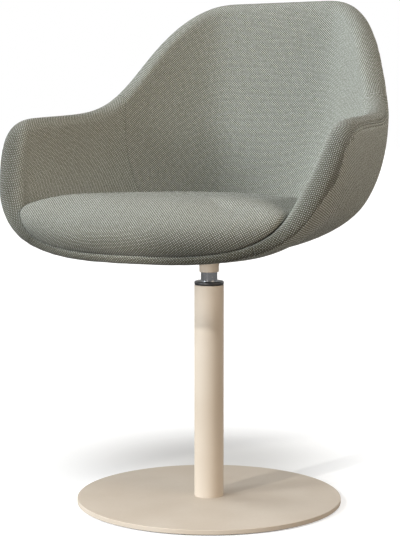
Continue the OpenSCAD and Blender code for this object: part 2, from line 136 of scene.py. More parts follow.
camera = add(bpy.ops.object.camera_add, "photo_camera")
camera.data.lens = lens_length
camera.data.sensor_width = sensor_width
heading = camera_side + camera_yaw
ahead = Vector((-math.sin(heading), math.cos(heading), -math.tan(camera_pitch)))
camera.location = (
    camera_distance * math.sin(camera_side), -camera_distance * math.cos(camera_side), camera_height)
camera.rotation_euler = ahead.to_track_quat("-Z", "Y").to_euler()
bpy.context.scene.camera = camera
print("camera at", [round(x, 3) for x in camera.location])

# %% [markdown]
# Every material is built from nodes, and a node needs three things: its own settings, values on its sockets
# and links from other nodes. One helper does all three, and sets the colours of a ramp where there is one,
# so that a material reads as a recipe. Colours are written as the hex values that a picture shows, and one
# function turns them to the linear values that Blender wants.

# %% Colours, nodes and materials
def linear(hex_colour):
    """An sRGB hex colour as linear red, green, blue and alpha."""
    shares = [int(hex_colour[i:i + 2], 16) / 255 for i in (1, 3, 5)]
    return [s / 12.92 if s <= 0.04045 else ((s + 0.055) / 1.055) ** 2.4 for s in shares] + [1.0]


def add_node(tree, kind, values=None, links=None, stops=(), **settings):
    """Adds a shader node, sets it up, fills its sockets, links them and sets the stops of a colour ramp."""
    made = tree.nodes.new("ShaderNode" + kind)
    for key, value in settings.items():
        setattr(made, key, value)
    for key, value in (values or {}).items():
        made.inputs[key].default_value = value
    for key, source in (links or {}).items():
        tree.links.new(source, made.inputs[key])
    if stops:
        elements = made.color_ramp.elements
        while len(elements) < len(stops):
            elements.new(0.5)
        for element, (place, colour) in zip(elements, stops):
            element.position = place
            element.color = linear(colour)
    return made


def start_material(name):
    """An empty material with its node tree."""
    material = bpy.data.materials.new(name)
    material.use_nodes = True
    material.node_tree.nodes.clear()
    return material, material.node_tree


def dress(piece, material):
    """Gives a piece one material in place of what it had."""
    piece.data.materials.clear()
    piece.data.materials.append(material)


# %% [markdown]
# The studio floor is matt and white, without an edge in sight. It could be lit until it is white, but then
# the chair would be too bright, so to the camera it glows a little instead. It glows least at one place
# behind the base, a painted shadow on the floor where the chair's shadow gathers. Its bounce on the chair
# stays that of a grey floor.

# %% Floor
floor_size = 60
floor_grey = "#d4d4d4"
floor_bounce = "#808080"
floor_glow = 0.52
# Near one place behind the base the floor's glow drops: a painted shadow.
painted_shadow_glow = 0.06
painted_shadow_place = (-0.13, 0.29, 0)
painted_shadow_reach = 0.38

floor = add(bpy.ops.mesh.primitive_plane_add, "studio_floor", size=floor_size)
floor_paint, tree = start_material("studio_floor_paint")
seen = add_node(tree, "LightPath").outputs["Is Camera Ray"]
spot = add_node(tree, "TexCoord").outputs["Object"]
# The glow falls with nearness to that place, which paints the shadow.
away = add_node(tree, "VectorMath", {1: painted_shadow_place}, {0: spot}, operation="DISTANCE").outputs["Value"]
glow = add_node(tree, "MapRange", {"From Max": painted_shadow_reach, "To Min": painted_shadow_glow, "To Max": floor_glow},
                {"Value": away}, interpolation_type="SMOOTHSTEP")
glow = add_node(tree, "Math", links={0: seen, 1: glow.outputs[0]}, operation="MULTIPLY")
tone = add_node(tree, "Mix", {6: linear(floor_bounce), 7: linear(floor_grey)}, {0: seen}, data_type="RGBA")
surface = add_node(
    tree, "BsdfPrincipled", {"Roughness": 1.0, "Specular IOR Level": 0.0, "Emission Color": (1, 1, 1, 1)},
    {"Base Color": tone.outputs[2], "Emission Strength": glow.outputs[0]})
add_node(tree, "OutputMaterial", links={"Surface": surface.outputs[0]})
dress(floor, floor_paint)
print("the floor glows from", painted_shadow_glow, "to", floor_glow)

# %% [markdown]
# The world round the chair is a weak warm light. The camera sees it as plain white, and so do rays that
# mirror off metal or pass through glass, because chrome in a studio shows the white round it.

# %% World
world_light = "#f5ead8"
world_strength = 0.14

world = bpy.data.worlds.new("studio_world")
world.use_nodes = True
bpy.context.scene.world = world
tree = world.node_tree
tree.nodes.clear()
path = add_node(tree, "LightPath")
shown = path.outputs["Is Camera Ray"]
for ray in ("Is Glossy Ray", "Is Transmission Ray"):
    shown = add_node(tree, "Math", links={0: shown, 1: path.outputs[ray]}, operation="MAXIMUM").outputs[0]
soft = add_node(tree, "Background", {"Color": linear(world_light), "Strength": world_strength})
white = add_node(tree, "Background", {"Color": (1, 1, 1, 1), "Strength": 1.0})
mixed = add_node(tree, "MixShader", links={0: shown, 1: soft.outputs[0], 2: white.outputs[0]})
add_node(tree, "OutputWorld", links={"Surface": mixed.outputs[0]})
bpy.context.scene.view_settings.view_transform = "Standard"
print("world light", world_strength)

# %% [markdown]
# A broad low lamp stands at the sitter's right like a window, with a weaker one higher up beside it, a soft
# one hangs overhead, a warm one fills in from the left and a weak one lights the back. Lamps of the sun
# kind light everything evenly, and their angle says how soft their shadows are.

# %% Wide lamps
lamp_distance = 2.4


def toward(side, height):
    """The direction from the chair to a lamp: degrees round from the front to the sitter's left, and up."""
    side, height = math.radians(side), math.radians(height)
    return Vector((math.sin(side) * math.cos(height), -math.cos(side) * math.cos(height), math.sin(height)))


def hang_lamp(kind, name, side, height, energy, colour, aim_height=0.4):
    """Adds a lamp that looks at the chair's axis."""
    direction = toward(side, height)
    lamp = add(bpy.ops.object.light_add, name, type=kind,
               location=Vector((0, 0, aim_height)) + direction * lamp_distance)
    lamp.rotation_euler = direction.to_track_quat("Z", "Y").to_euler()
    lamp.data.energy = energy
    lamp.data.color = linear(colour)[:3]
    return lamp


for name, side, height, energy, colour, angle in (
        ("window_lamp", -36, 12, 3.25, "#f6fbff", 22),
        ("edge_lamp", -90, 30, 1.4, "#f6fbff", 35),
        ("top_lamp", 28, 62, 1.22, "#fbfdff", 32),
        ("fill_lamp", 80, 12, 1.35, "#ffe9cf", 40),
        ("back_lamp", 160, 18, 0.7, "#fbfdff", 40)):
    lamp = hang_lamp("SUN", name, side, height, energy, colour)
    lamp.data.angle = math.radians(angle)
    print(name, energy)

# %% [markdown]
# Three small lamps reach under the seat. Two light the column, below and at its collar, and one throws the
# column's crisp shadow over the base plate. Their cones are narrow, so that they leave the seat alone.

# %% Small lamps
for name, side, height, energy, colour, aim_height, cone, fade, bulb in (
        ("shadow_lamp", -14, 33, 97, "#fffdf8", 0.05, 12.6, 0.2, 0.03),
        ("column_lamp", 30, 5, 32, "#fffaf4", 0.2, 10.6, 0.15, 0.15),
        ("collar_lamp", 2, 4, 98, "#fffaf4", 0.39, 4.1, 0.6, 0.03)):
    lamp = hang_lamp("SPOT", name, side, height, energy, colour, aim_height)
    lamp.data.spot_size = math.radians(cone)
    lamp.data.spot_blend = fade
    lamp.data.shadow_soft_size = bulb
    print(name, energy)

# %% [markdown]
# The pedestal is powder-coated steel. Powder coat is sprayed as a dry paint and baked, which leaves a matt
# skin with a fine orange peel and tiny flecks of grit. Noise at three sizes gives the eye those: clouds in
# the colour, flecks a little darker than it, and a relief of peel and grit. The grit is drawn coarser than
# it is, to show.

# %% Powder coat
grit_width = 10 * MM / 9
peel_width = 50 * MM / 13
cloud_width = 1000 * MM / 9

powder_coat, tree = start_material("powder_coated_steel")
place = add_node(tree, "TexCoord").outputs["Object"]
grit = add_node(tree, "TexNoise", {"Scale": 1 / grit_width, "Detail": 3.0, "Roughness": 0.6},
                {"Vector": place})
peel = add_node(tree, "TexNoise", {"Scale": 1 / peel_width, "Detail": 1.0}, {"Vector": place})
cloudy = add_node(tree, "TexNoise", {"Scale": 1 / cloud_width, "Detail": 2.0}, {"Vector": place})
tone = add_node(tree, "ValToRGB", links={"Fac": cloudy.outputs["Fac"]},
                stops=[(0.35, "#b6aa9b"), (0.65, "#bcb1a3")])
speck = add_node(tree, "MapRange", {"From Min": 0.62, "From Max": 0.75, "To Max": 0.35},
                 {"Value": grit.outputs["Fac"]})
coat = add_node(tree, "Mix", {7: linear("#a89582")}, {0: speck.outputs[0], 6: tone.outputs["Color"]},
                data_type="RGBA")
rough = add_node(tree, "MapRange", {"To Min": 0.5, "To Max": 0.72}, {"Value": peel.outputs["Fac"]})
fine = add_node(tree, "Bump", {"Strength": 0.25, "Distance": 0.2 * MM}, {"Height": grit.outputs["Fac"]})
raised = add_node(tree, "Bump", {"Strength": 0.25, "Distance": 0.4 * MM},
                  {"Height": peel.outputs["Fac"], "Normal": fine.outputs[0]})
surface = add_node(
    tree, "BsdfPrincipled", {"IOR": 1.5, "Specular IOR Level": 0.4},
    {"Base Color": coat.outputs[2], "Roughness": rough.outputs[0], "Normal": raised.outputs[0]})
add_node(tree, "OutputMaterial", links={"Surface": surface.outputs[0]})
print("grit", round(grit_width / MM, 2), "mm, peel", round(peel_width / MM, 2), "mm")

# %% [markdown]
# The spindle is polished chrome. It mirrors what stands round it and shows almost no marks, only very fine
# lines from turning, so it is a metal with a noise drawn out to rings that roughens it a little.

# %% Chrome
chrome_ring = 10 * MM / 14
chrome_ring_run = 1000 * MM / 3

chrome, tree = start_material("polished_chrome")
place = add_node(tree, "TexCoord").outputs["Object"]
rings = add_node(tree, "Mapping", {"Scale": (1 / chrome_ring_run, 1 / chrome_ring_run, 1 / chrome_ring)},
                 {"Vector": place})
turned = add_node(tree, "TexNoise", {"Scale": 1.0, "Detail": 2.0}, {"Vector": rings.outputs[0]})
rough = add_node(tree, "MapRange", {"To Min": 0.05, "To Max": 0.16}, {"Value": turned.outputs["Fac"]})
surface = add_node(tree, "BsdfPrincipled", {"Base Color": linear("#c4c6ca"), "Metallic": 1.0},
                   {"Roughness": rough.outputs[0]})
add_node(tree, "OutputMaterial", links={"Surface": surface.outputs[0]})
print("rings of the chrome", round(chrome_ring / MM, 2), "mm")

# %% [markdown]
# Shafts, races and plates are plain machined steel, which shows the rings from turning strongly: they
# change its tone and its shine and stand up a little. Its colour tints what it mirrors.

# %% Machined steel
steel_ring = 10 * MM / 24
steel_ring_run = 50 * MM / 3

machined_steel, tree = start_material("machined_steel")
place = add_node(tree, "TexCoord").outputs["Object"]
rings = add_node(tree, "Mapping", {"Scale": (1 / steel_ring_run, 1 / steel_ring_run, 1 / steel_ring)},
                 {"Vector": place})
turned = add_node(tree, "TexNoise", {"Scale": 1.0, "Detail": 4.0}, {"Vector": rings.outputs[0]})
tone = add_node(tree, "ValToRGB", links={"Fac": turned.outputs["Fac"]},
                stops=[(0.3, "#7f8286"), (0.7, "#a3a6aa")])
rough = add_node(tree, "MapRange", {"To Min": 0.25, "To Max": 0.45}, {"Value": turned.outputs["Fac"]})
raised = add_node(tree, "Bump", {"Strength": 0.15, "Distance": 0.1 * MM}, {"Height": turned.outputs["Fac"]})
surface = add_node(
    tree, "BsdfPrincipled", {"Metallic": 1.0},
    {"Base Color": tone.outputs["Color"], "Roughness": rough.outputs[0], "Normal": raised.outputs[0]})
add_node(tree, "OutputMaterial", links={"Surface": surface.outputs[0]})
print("rings of the steel", round(steel_ring / MM, 2), "mm")

# %% [markdown]
# The guide sleeve and the bush are moulded acetal, a slippery black plastic with a fine satin skin: its
# grain breaks up the shine more than the colour.

# %% Acetal
acetal_grain = 10 * MM / 7

moulded_acetal, tree = start_material("moulded_acetal")
place = add_node(tree, "TexCoord").outputs["Object"]
grain = add_node(tree, "TexNoise", {"Scale": 1 / acetal_grain, "Detail": 2.0}, {"Vector": place})
tone = add_node(tree, "ValToRGB", links={"Fac": grain.outputs["Fac"]},
                stops=[(0.35, "#161617"), (0.65, "#212124")])
rough = add_node(tree, "MapRange", {"To Min": 0.3, "To Max": 0.5}, {"Value": grain.outputs["Fac"]})
raised = add_node(tree, "Bump", {"Strength": 0.1, "Distance": 0.1 * MM}, {"Height": grain.outputs["Fac"]})
surface = add_node(
    tree, "BsdfPrincipled", {"IOR": 1.48},
    {"Base Color": tone.outputs["Color"], "Roughness": rough.outputs[0], "Normal": raised.outputs[0]})
add_node(tree, "OutputMaterial", links={"Surface": surface.outputs[0]})
print("grain of the acetal", round(acetal_grain / MM, 2), "mm")

# %% [markdown]
# The seat bolts are black oxide steel, a thin dark film that lets a little metal shine through in patches.

# %% Black oxide
oxide_patch = 3.125 * MM

black_oxide, tree = start_material("black_oxide_steel")
place = add_node(tree, "TexCoord").outputs["Object"]
mottle = add_node(tree, "TexNoise", {"Scale": 1 / oxide_patch, "Detail": 4.0}, {"Vector": place})
tone = add_node(tree, "ValToRGB", links={"Fac": mottle.outputs["Fac"]},
                stops=[(0.3, "#19191b"), (0.7, "#2b2b2f")])
surface = add_node(tree, "BsdfPrincipled", {"Metallic": 0.85, "Roughness": 0.42},
                   {"Base Color": tone.outputs["Color"]})
add_node(tree, "OutputMaterial", links={"Surface": surface.outputs[0]})
print("patches of the oxide", round(oxide_patch / MM, 2), "mm")

# %% [markdown]
# Three finishes are hidden in use but belong to the object. The first is the pressed felt under the base,
# whose fibres lie every way: a twisted noise with a deep relief and a faint sheen.

# %% Felt
fibre_width = 20 * MM / 13

pressed_felt, tree = start_material("pressed_felt")
place = add_node(tree, "TexCoord").outputs["Object"]
fibres = add_node(tree, "TexNoise", {"Scale": 1 / fibre_width, "Detail": 6.0, "Distortion": 2.0},
                  {"Vector": place})
tone = add_node(tree, "ValToRGB", links={"Fac": fibres.outputs["Fac"]},
                stops=[(0.3, "#2e2d2b"), (0.7, "#4a4946")])
raised = add_node(tree, "Bump", {"Strength": 0.6, "Distance": 0.4 * MM}, {"Height": fibres.outputs["Fac"]})
surface = add_node(tree, "BsdfPrincipled", {"Roughness": 1.0, "Sheen Weight": 0.3},
                   {"Base Color": tone.outputs["Color"], "Normal": raised.outputs[0]})
add_node(tree, "OutputMaterial", links={"Surface": surface.outputs[0]})
print("fibres of the felt", round(fibre_width / MM, 2), "mm")

# %% [markdown]
# The second is the moulded board of the shell's core. Its veneers show as fine streaks along the grain, so
# the noise is drawn out one way.

# %% Moulded board
streak_width = 25 * MM / 6
streak_length = 125 * MM

moulded_board, tree = start_material("moulded_board")
place = add_node(tree, "TexCoord").outputs["Object"]
along = add_node(tree, "Mapping", {"Scale": (1 / streak_length, 1 / streak_width, 1 / streak_width)},
                 {"Vector": place})
streaks = add_node(tree, "TexNoise", {"Scale": 1.0, "Detail": 6.0, "Distortion": 0.6},
                   {"Vector": along.outputs[0]})
tone = add_node(tree, "ValToRGB", links={"Fac": streaks.outputs["Fac"]},
                stops=[(0.3, "#9c7a4e"), (0.5, "#b08d5e"), (0.7, "#c2a273")])
raised = add_node(tree, "Bump", {"Strength": 0.3, "Distance": 0.2 * MM}, {"Height": streaks.outputs["Fac"]})
surface = add_node(tree, "BsdfPrincipled", {"Roughness": 0.7},
                   {"Base Color": tone.outputs["Color"], "Normal": raised.outputs[0]})
add_node(tree, "OutputMaterial", links={"Surface": surface.outputs[0]})
print("streaks of the board", round(streak_width / MM, 2), "mm")

# %% [markdown]
# The third is upholstery foam, a pale matt mass of small open cells, which a pattern of cells gives
# directly.

# %% Foam
cell_width = 1.25 * MM

upholstery_foam, tree = start_material("upholstery_foam")
place = add_node(tree, "TexCoord").outputs["Object"]
cells = add_node(tree, "TexVoronoi", {"Scale": 1 / cell_width}, {"Vector": place}).outputs["Distance"]
tone = add_node(tree, "ValToRGB", links={"Fac": cells}, stops=[(0.0, "#b3a878"), (0.5, "#d9cf9f")])
raised = add_node(tree, "Bump", {"Strength": 0.7, "Distance": 0.5 * MM}, {"Height": cells})
surface = add_node(tree, "BsdfPrincipled", {"Roughness": 0.95},
                   {"Base Color": tone.outputs["Color"], "Normal": raised.outputs[0]})
add_node(tree, "OutputMaterial", links={"Surface": surface.outputs[0]})
print("cells of the foam", round(cell_width / MM, 2), "mm")

# %% [markdown]
# The cloth is a coarse basket weave of melange wool. Warp threads run up, weft threads run across, and each
# passes over and under in turn, so a crossing shows the warp where the two sine waves below have the same
# sign and the weft where they differ. Every thread is a small pillow: high in its middle, and painted dark
# where it dives, as painted shade. The map is in metres, so the thread spacing is real, and a slow wave keeps
# the threads from lying dead straight.

# %% Threads of the weave
thread_pitch = 2.15 * MM
wave_length = 62.5 * MM
wave_height = 3.5 * MM
pillow_power = 0.6
crossing_edge = 0.1

wool_weave, tree = start_material("basket_weave_wool")
cloth_map = add_node(tree, "UVMap", uv_map="cloth").outputs[0]
wave = add_node(tree, "TexNoise", {"Scale": 1 / wave_length, "Detail": 2.0}, {"Vector": cloth_map})
wobble = add_node(tree, "VectorMath", {1: (0.5, 0.5, 0.5)}, {0: wave.outputs["Color"]}, operation="SUBTRACT")
wobble = add_node(tree, "VectorMath", {"Scale": wave_height}, {0: wobble.outputs[0]}, operation="SCALE")
loose = add_node(tree, "VectorMath", links={0: cloth_map, 1: wobble.outputs[0]}, operation="ADD").outputs[0]
half_turns = math.pi / thread_pitch
phase = add_node(tree, "VectorMath", {1: (half_turns, half_turns, 0)}, {0: loose}, operation="MULTIPLY")
split = add_node(tree, "SeparateXYZ", links={0: phase.outputs[0]})
across = add_node(tree, "Math", links={0: split.outputs["X"]}, operation="SINE").outputs[0]
upward = add_node(tree, "Math", links={0: split.outputs["Y"]}, operation="SINE").outputs[0]
crossing = add_node(tree, "Math", links={0: across, 1: upward}, operation="MULTIPLY").outputs[0]
size = add_node(tree, "Math", links={0: crossing}, operation="ABSOLUTE").outputs[0]
pillow = add_node(tree, "Math", {1: pillow_power}, {0: size}, operation="POWER").outputs[0]
on_top = add_node(tree, "MapRange", {"From Min": -crossing_edge, "From Max": crossing_edge},
                  {"Value": crossing}).outputs[0]
print("threads", round(thread_pitch / MM, 2), "mm apart")

# %% [markdown]
# The yarns are spun from light and dark fibres, which shows as flecks drawn out along each thread, and now
# and then a thread is thicker or paler over some centimetres. The warp is the paler yarn and the weft the
# greener.

# %% Yarns
fleck_length = thread_pitch / 0.3
slub_width = 50 * MM / 13
slub_length = 62.5 * MM
slub_strength = 0.35


def yarn(runs_up, stops):
    """The colours of a yarn: short flecks along its threads and slow slubs."""
    drawn = []
    for width, length in ((thread_pitch, fleck_length), (slub_width, slub_length)):
        scale = (1 / width, 1 / length, 1) if runs_up else (1 / length, 1 / width, 1)
        drawn.append(add_node(tree, "VectorMath", {1: scale}, {0: loose}, operation="MULTIPLY").outputs[0])
    flecks = add_node(tree, "TexNoise", {"Scale": 1.0, "Detail": 3.0, "Roughness": 0.6}, {"Vector": drawn[0]})
    slub = add_node(tree, "TexNoise", {"Scale": 1.0, "Detail": 2.0}, {"Vector": drawn[1]})
    both = add_node(tree, "Math", {1: 0.5}, {0: slub.outputs["Fac"]}, operation="SUBTRACT")
    both = add_node(tree, "Math", {1: slub_strength}, {0: both.outputs[0], 2: flecks.outputs["Fac"]},
                    operation="MULTIPLY_ADD")
    return add_node(tree, "ValToRGB", links={"Fac": both.outputs[0]}, stops=stops).outputs["Color"]


warp = yarn(True, [(0.3, "#d3d6cd"), (0.5, "#eaeee7"), (0.7, "#fcfffb")])
weft = yarn(False, [(0.3, "#777a69"), (0.5, "#929584"), (0.7, "#adb1a3")])
print("flecks", round(fleck_length / MM, 1), "mm, slubs", round(slub_length / MM, 1), "mm long")

# %% [markdown]
# Between the threads the cloth is painted dark, a painted shade in the gaps. Where it is pulled over a tight
# turn its threads part, so those gaps widen with the pull that is noted on the cloth; where that pull is set
# high, on the arms' front edges, the lip and the cushion's front, the wider dark gaps are partly painted
# shade.
# Loose fibres on wool catch the light at a low angle, which a little sheen gives.

# %% Surface of the weave
pull_opening = 0.42
# The dark colour between the threads is painted shade.
gap_shade_colour = "#302b1c"
gap_shade_full = 0.2
gap_shade_end = 0.86
thread_relief = 0.7 * MM

yarns = add_node(tree, "Mix", links={0: on_top, 6: weft, 7: warp}, data_type="RGBA").outputs[2]
# Where the pull is high the dark gaps widen, partly as painted shade.
pull = add_node(tree, "Attribute", attribute_name="pull").outputs["Fac"]
opened_and_shaded = add_node(tree, "Math", {1: -pull_opening}, {0: pull, 2: pillow}, operation="MULTIPLY_ADD").outputs[0]
# This share of the dark colour paints the shade between and under the threads.
depth = add_node(tree, "MapRange", {"From Min": gap_shade_full, "From Max": gap_shade_end, "To Min": 1.0, "To Max": 0.0},
                 {"Value": opened_and_shaded}).outputs[0]
base = add_node(tree, "Mix", {7: linear(gap_shade_colour)}, {0: depth, 6: yarns}, data_type="RGBA").outputs[2]
raised = add_node(tree, "Bump", {"Strength": 1.0, "Distance": thread_relief}, {"Height": pillow}).outputs[0]
surface = add_node(
    tree, "BsdfPrincipled",
    {"Roughness": 0.95, "Specular IOR Level": 0.15, "Sheen Weight": 0.12, "Sheen Roughness": 0.45},
    {"Base Color": base, "Normal": raised})
add_node(tree, "OutputMaterial", links={"Surface": surface.outputs[0]})
print("weave of", len(tree.nodes), "nodes")

# %% [markdown]
# Sewing thread is the same green-grey, twisted tight, and lies in its own shade, so its colour is painted
# darker than the cloth's: a painted shade.

# %% Sewing thread
twist_length = 0.4 * MM

sewing_thread, tree = start_material("twisted_sewing_thread")
place = add_node(tree, "TexCoord").outputs["Object"]
twist = add_node(tree, "TexNoise", {"Scale": 1 / twist_length, "Detail": 2.0}, {"Vector": place})
# The thread's darker tones are painted shade.
tone = add_node(tree, "ValToRGB", links={"Fac": twist.outputs["Fac"]},
                stops=[(0.35, "#50534a"), (0.65, "#6b6e62")])
surface = add_node(tree, "BsdfPrincipled", {"Roughness": 0.8}, {"Base Color": tone.outputs["Color"]})
add_node(tree, "OutputMaterial", links={"Surface": surface.outputs[0]})
print("twist of the thread", round(twist_length / MM, 2), "mm")

# %% [markdown]
# The carried-over nodes now get their finishes. Each keeps its mesh, and only its material slot changes.

# %% Finishes of the rigid parts
finishes = {
    "sand_paint": powder_coat, "chrome": chrome, "steel": machined_steel, "black_steel": black_oxide,
    "black_plastic": moulded_acetal, "felt": pressed_felt, "moulded_board": moulded_board,
    "foam": upholstery_foam, "weave": wool_weave,
}
for subpart in frame["record"]["subparts"]:
    dress(nodes[subpart["node"]], finishes[subpart["material_slot"]])

# %% [markdown]
# The shell is one flowing form. A closed spline runs as its rim over the back, down into the arms and round
# the low front lip, and from the flat pan to that rim every section is a curve. These are the measures that
# the rigid model has, repeated in metres, because the cloth has to lie where its solids are. The rim's
# spline runs near the points of a guide line, each given as shares: of the half width, of the reach behind
# or in front, of the arm's rise and of the back's rise.

# %% Measures of the shell
half_width = 288 * MM
reach_behind = 282 * MM
reach_before = 272 * MM
arm_rise = 215 * MM
back_rise = 210 * MM
pan_height = 436.8 * MM
lip_thickness = 15 * MM
wall_thickness = 42 * MM
thickening_height = 90 * MM
core_thickness = 6 * MM
cover_thickness = 1.2 * MM
layer_gap = 0.3 * MM

rim_shares = np.array([
    [0, 1, 1, 1], [0.26, 1, 1, 1], [0.43, 0.98, 1, 1], [0.565, 0.865, 1, 0.9],
    [0.675, 0.74, 1, 0.725], [0.757, 0.62, 1, 0.515], [0.83, 0.505, 1, 0.29], [0.9, 0.36, 1, 0.11],
    [0.955, 0.18, 1.01, 0.03], [0.985, -0.055, 1.02, 0], [1.01, -0.29, 1.005, 0], [1.025, -0.515, 0.985, 0],
    [0.99, -0.62, 0.715, 0], [0.905, -0.765, 0.375, 0], [0.78, -0.85, 0.17, 0], [0.6, -0.91, 0.06, 0],
    [0.35, -0.975, 0, 0], [0, -1, 0, 0]])
heel_shares = np.array([0.66, 0.815, 0.05])
wall_shares = np.array([1.03, 0.925, 0.29])
pan_share = 0.46
deck_share = 0.22
steps_per_point = 2
arm_seam = 13
lip_seam = 29

guide = np.stack([
    rim_shares[:, 0] * half_width,
    rim_shares[:, 1] * np.where(rim_shares[:, 1] > 0, reach_behind, reach_before),
    pan_height + rim_shares[:, 2] * arm_rise + rim_shares[:, 3] * back_rise], axis=1)
guide = np.concatenate([guide, guide[-2:0:-1] * [-1, 1, 1]])
sections = len(guide) * steps_per_point
print("sections round the shell:", sections)


# %% [markdown]
# Two curves make the shell. The rim is a spline, in which every point is blended from four points of the
# guide, so it has no corner anywhere. A section climbs from the pan over the heel and the wall to the rim
# as one curve with two handles. Sections are numbered round the chair, from the middle of the back over the
# sitter's left arm.

# %% Curves of the shell
def unit(vectors):
    return vectors / np.linalg.norm(vectors, axis=-1, keepdims=True)


def ease(share):
    share = np.clip(share, 0, 1)
    return share * share * (3 - 2 * share)


def half_wall(height):
    thickened = ease((height - pan_height) / thickening_height)
    return (lip_thickness + (wall_thickness - lip_thickness) * thickened) / 2


def rim_at(section):
    """The rim's spline."""
    place = section / steps_per_point
    first = np.floor(place).astype(int)
    u = (place - first)[..., None]
    a, b, c, d = (guide[(first + k) % len(guide)] for k in (-1, 0, 1, 2))
    return ((1 - u) ** 3 * a + (3 * u ** 3 - 6 * u ** 2 + 4) * b
            + (-3 * u ** 3 + 3 * u ** 2 + 3 * u + 1) * c + u ** 3 * d) / 6


def middle_at(section, climb):
    """Points of the shell's middle surface, and the direction in which it climbs there."""
    rim = rim_at(section)
    foot = np.array([0, 0, pan_height])
    heel = foot + (rim - foot) * heel_shares
    wall = foot + (rim - foot) * wall_shares
    pan = foot + (heel - foot) * [pan_share, pan_share, 0]
    end = 1 - half_wall(rim[..., 2]) / (3 * np.linalg.norm(rim - wall, axis=-1))
    u = (climb * end)[..., None]
    point = (1 - u) ** 3 * pan + 3 * (1 - u) ** 2 * u * heel + 3 * (1 - u) * u ** 2 * wall + u ** 3 * rim
    slope = 3 * (1 - u) ** 2 * (heel - pan) + 6 * (1 - u) * u * (wall - heel) + 3 * u ** 2 * (rim - wall)
    return point, unit(slope)


print("rim at the back and at the front:", rim_at(np.array([0.0, sections / 2]))[:, 2].round(4), "m")

# %% [markdown]
# The skin of the shell is a function of two numbers, the section and the way. The way runs up the inner
# face from 0 to 1, over the rounded rim from 1 to 2 and down the outer face from 2 to 3; below 0 and above
# 3 it runs to the middle of the deck and of the underside. Every soft piece is laid by this one function,
# so they all fit.

# %% Skin of the shell
def skin(section, way, sink=0.0, half=None):
    """Points of the shell's skin, sunk below it; a given half thickness replaces the padded one."""
    section, way, sink = np.broadcast_arrays(
        np.asarray(section, float), np.asarray(way, float), np.asarray(sink, float))
    climb = np.clip(np.where(way > 2, 3 - way, way), 0, 1)
    turn = math.pi * np.clip(way - 1, 0, 1)[..., None]
    point, direction = middle_at(section, climb)
    before, after = middle_at(section - 1, climb)[0], middle_at(section + 1, climb)[0]
    normal = unit(np.cross(after - before, direction))
    flat = ease(climb / deck_share)[..., None]
    normal = unit(flat * normal + (1 - flat) * np.array([0, 0, 1.0]))
    thick = (half_wall(point[..., 2]) if half is None else half) - sink
    point = point + thick[..., None] * (np.cos(turn) * normal + np.sin(turn) * direction)
    inward = 1 - np.clip(np.maximum(-way, way - 3), 0, 1)
    return point * np.stack([inward, inward, np.ones_like(inward)], axis=-1)


def stretch_of(section, way, by_section):
    """How far a point of the skin moves for a step of one section, or of one way."""
    step = 0.02
    if by_section:
        return np.linalg.norm(skin(section + step, way) - skin(section - step, way), axis=-1) / (2 * step)
    return np.linalg.norm(skin(section, way + step) - skin(section, way - step), axis=-1) / (2 * step)


print("top of the back:", round(float(skin(0, 1.5)[2]), 4), "m")

# %% [markdown]
# Where two panels meet, both edges turn in and are sewn together below the surface. The rim's seam runs
# along the back, the arms' tops and then down the outside of the arms' front edges. A few shares give its
# course: how far round from the back, and the way there. It is topstitched as far as the arms' tops.

# %% Course of the seams
seam_way_shares = np.array([
    [0, 1.9], [0.41, 1.9], [0.59, 1.86], [0.65, 1.92], [0.69, 2.06], [0.76, 1.98], [0.84, 2.03], [1, 2.06]])
averaged_steps = (-0.02, -0.01, 0, 0.01, 0.02)
stitched_end = 0.63
stitched_fade = 0.03


def from_back(section):
    """How far round a section is: 0 in the middle of the back and 1 in the middle of the front."""
    half = sections / 2
    return np.abs((section + half) % sections - half) / half


def seam_way(section):
    """The way at which the rim's seam runs."""
    near = [np.interp(from_back(section) + step, seam_way_shares[:, 0], seam_way_shares[:, 1])
            for step in averaged_steps]
    return np.mean(near, axis=0)


def stitched_share(section):
    """One along the back and the arms' tops, where the seam is topstitched, and nothing down their fronts."""
    return 1 - ease((from_back(section) - stitched_end) / stitched_fade)


print("way of the rim's seam at the back and the front:", seam_way(np.array([0, sections / 2])).round(3))

# %% [markdown]
# A seam's fold is a few millimetres wide wherever it runs, but a step of one way is longer on the tall back
# than on the low lip. So distances on the surface are worked out from the ways, and ways from distances.

# %% Distances from the seams
outer_start = 2.03


def round_rate(section):
    """Distance over the rounded rim for a step of one way."""
    return math.pi * half_wall(rim_at(section)[..., 2])


def outer_rate(section):
    """Distance down the outer face for a step of one way."""
    return stretch_of(section, np.full(np.shape(section), outer_start), False)


def rim_distance(section, way):
    """Distance along the rounded rim and on down the outer face."""
    return np.minimum(way, 2) * round_rate(section) + np.maximum(way - 2, 0) * outer_rate(section)


def rim_gap(section, way):
    """Distance from the seam along the rim."""
    return np.abs(rim_distance(section, way) - rim_distance(section, seam_way(section)))


def way_beside_seam(section, distance):
    """The way at a distance from the rim's seam, positive toward the outer face."""
    reach = rim_distance(section, seam_way(section)) + distance
    over = np.maximum(reach - 2 * round_rate(section), 0)
    return np.minimum(reach / round_rate(section), 2) + over / outer_rate(section)


def cross_gap(section, way):
    """Distance from the nearest seam that runs up the shell."""
    nearest = np.full(np.shape(section), np.inf)
    for seam in (arm_seam, lip_seam, sections - lip_seam, sections - arm_seam):
        off = np.abs((section - seam + sections / 2) % sections - sections / 2)
        nearest = np.minimum(nearest, off)
    gap = nearest * stretch_of(section, way, True)
    return np.where(way < seam_way(section) + 0.001, gap, np.inf)



print("a way over the rim at the back:", round(float(round_rate(np.array(0.0))) / MM, 1), "mm")

# %% [markdown]
# A seam is a narrow valley between two soft rolls. Where it is topstitched, the thread presses a shallow
# channel into the padding on both sides, and the cloth puckers a little between the stitches. Those are
# real depths in the cloth here, because a bump in the material wouldn't change how the edges catch the
# light.

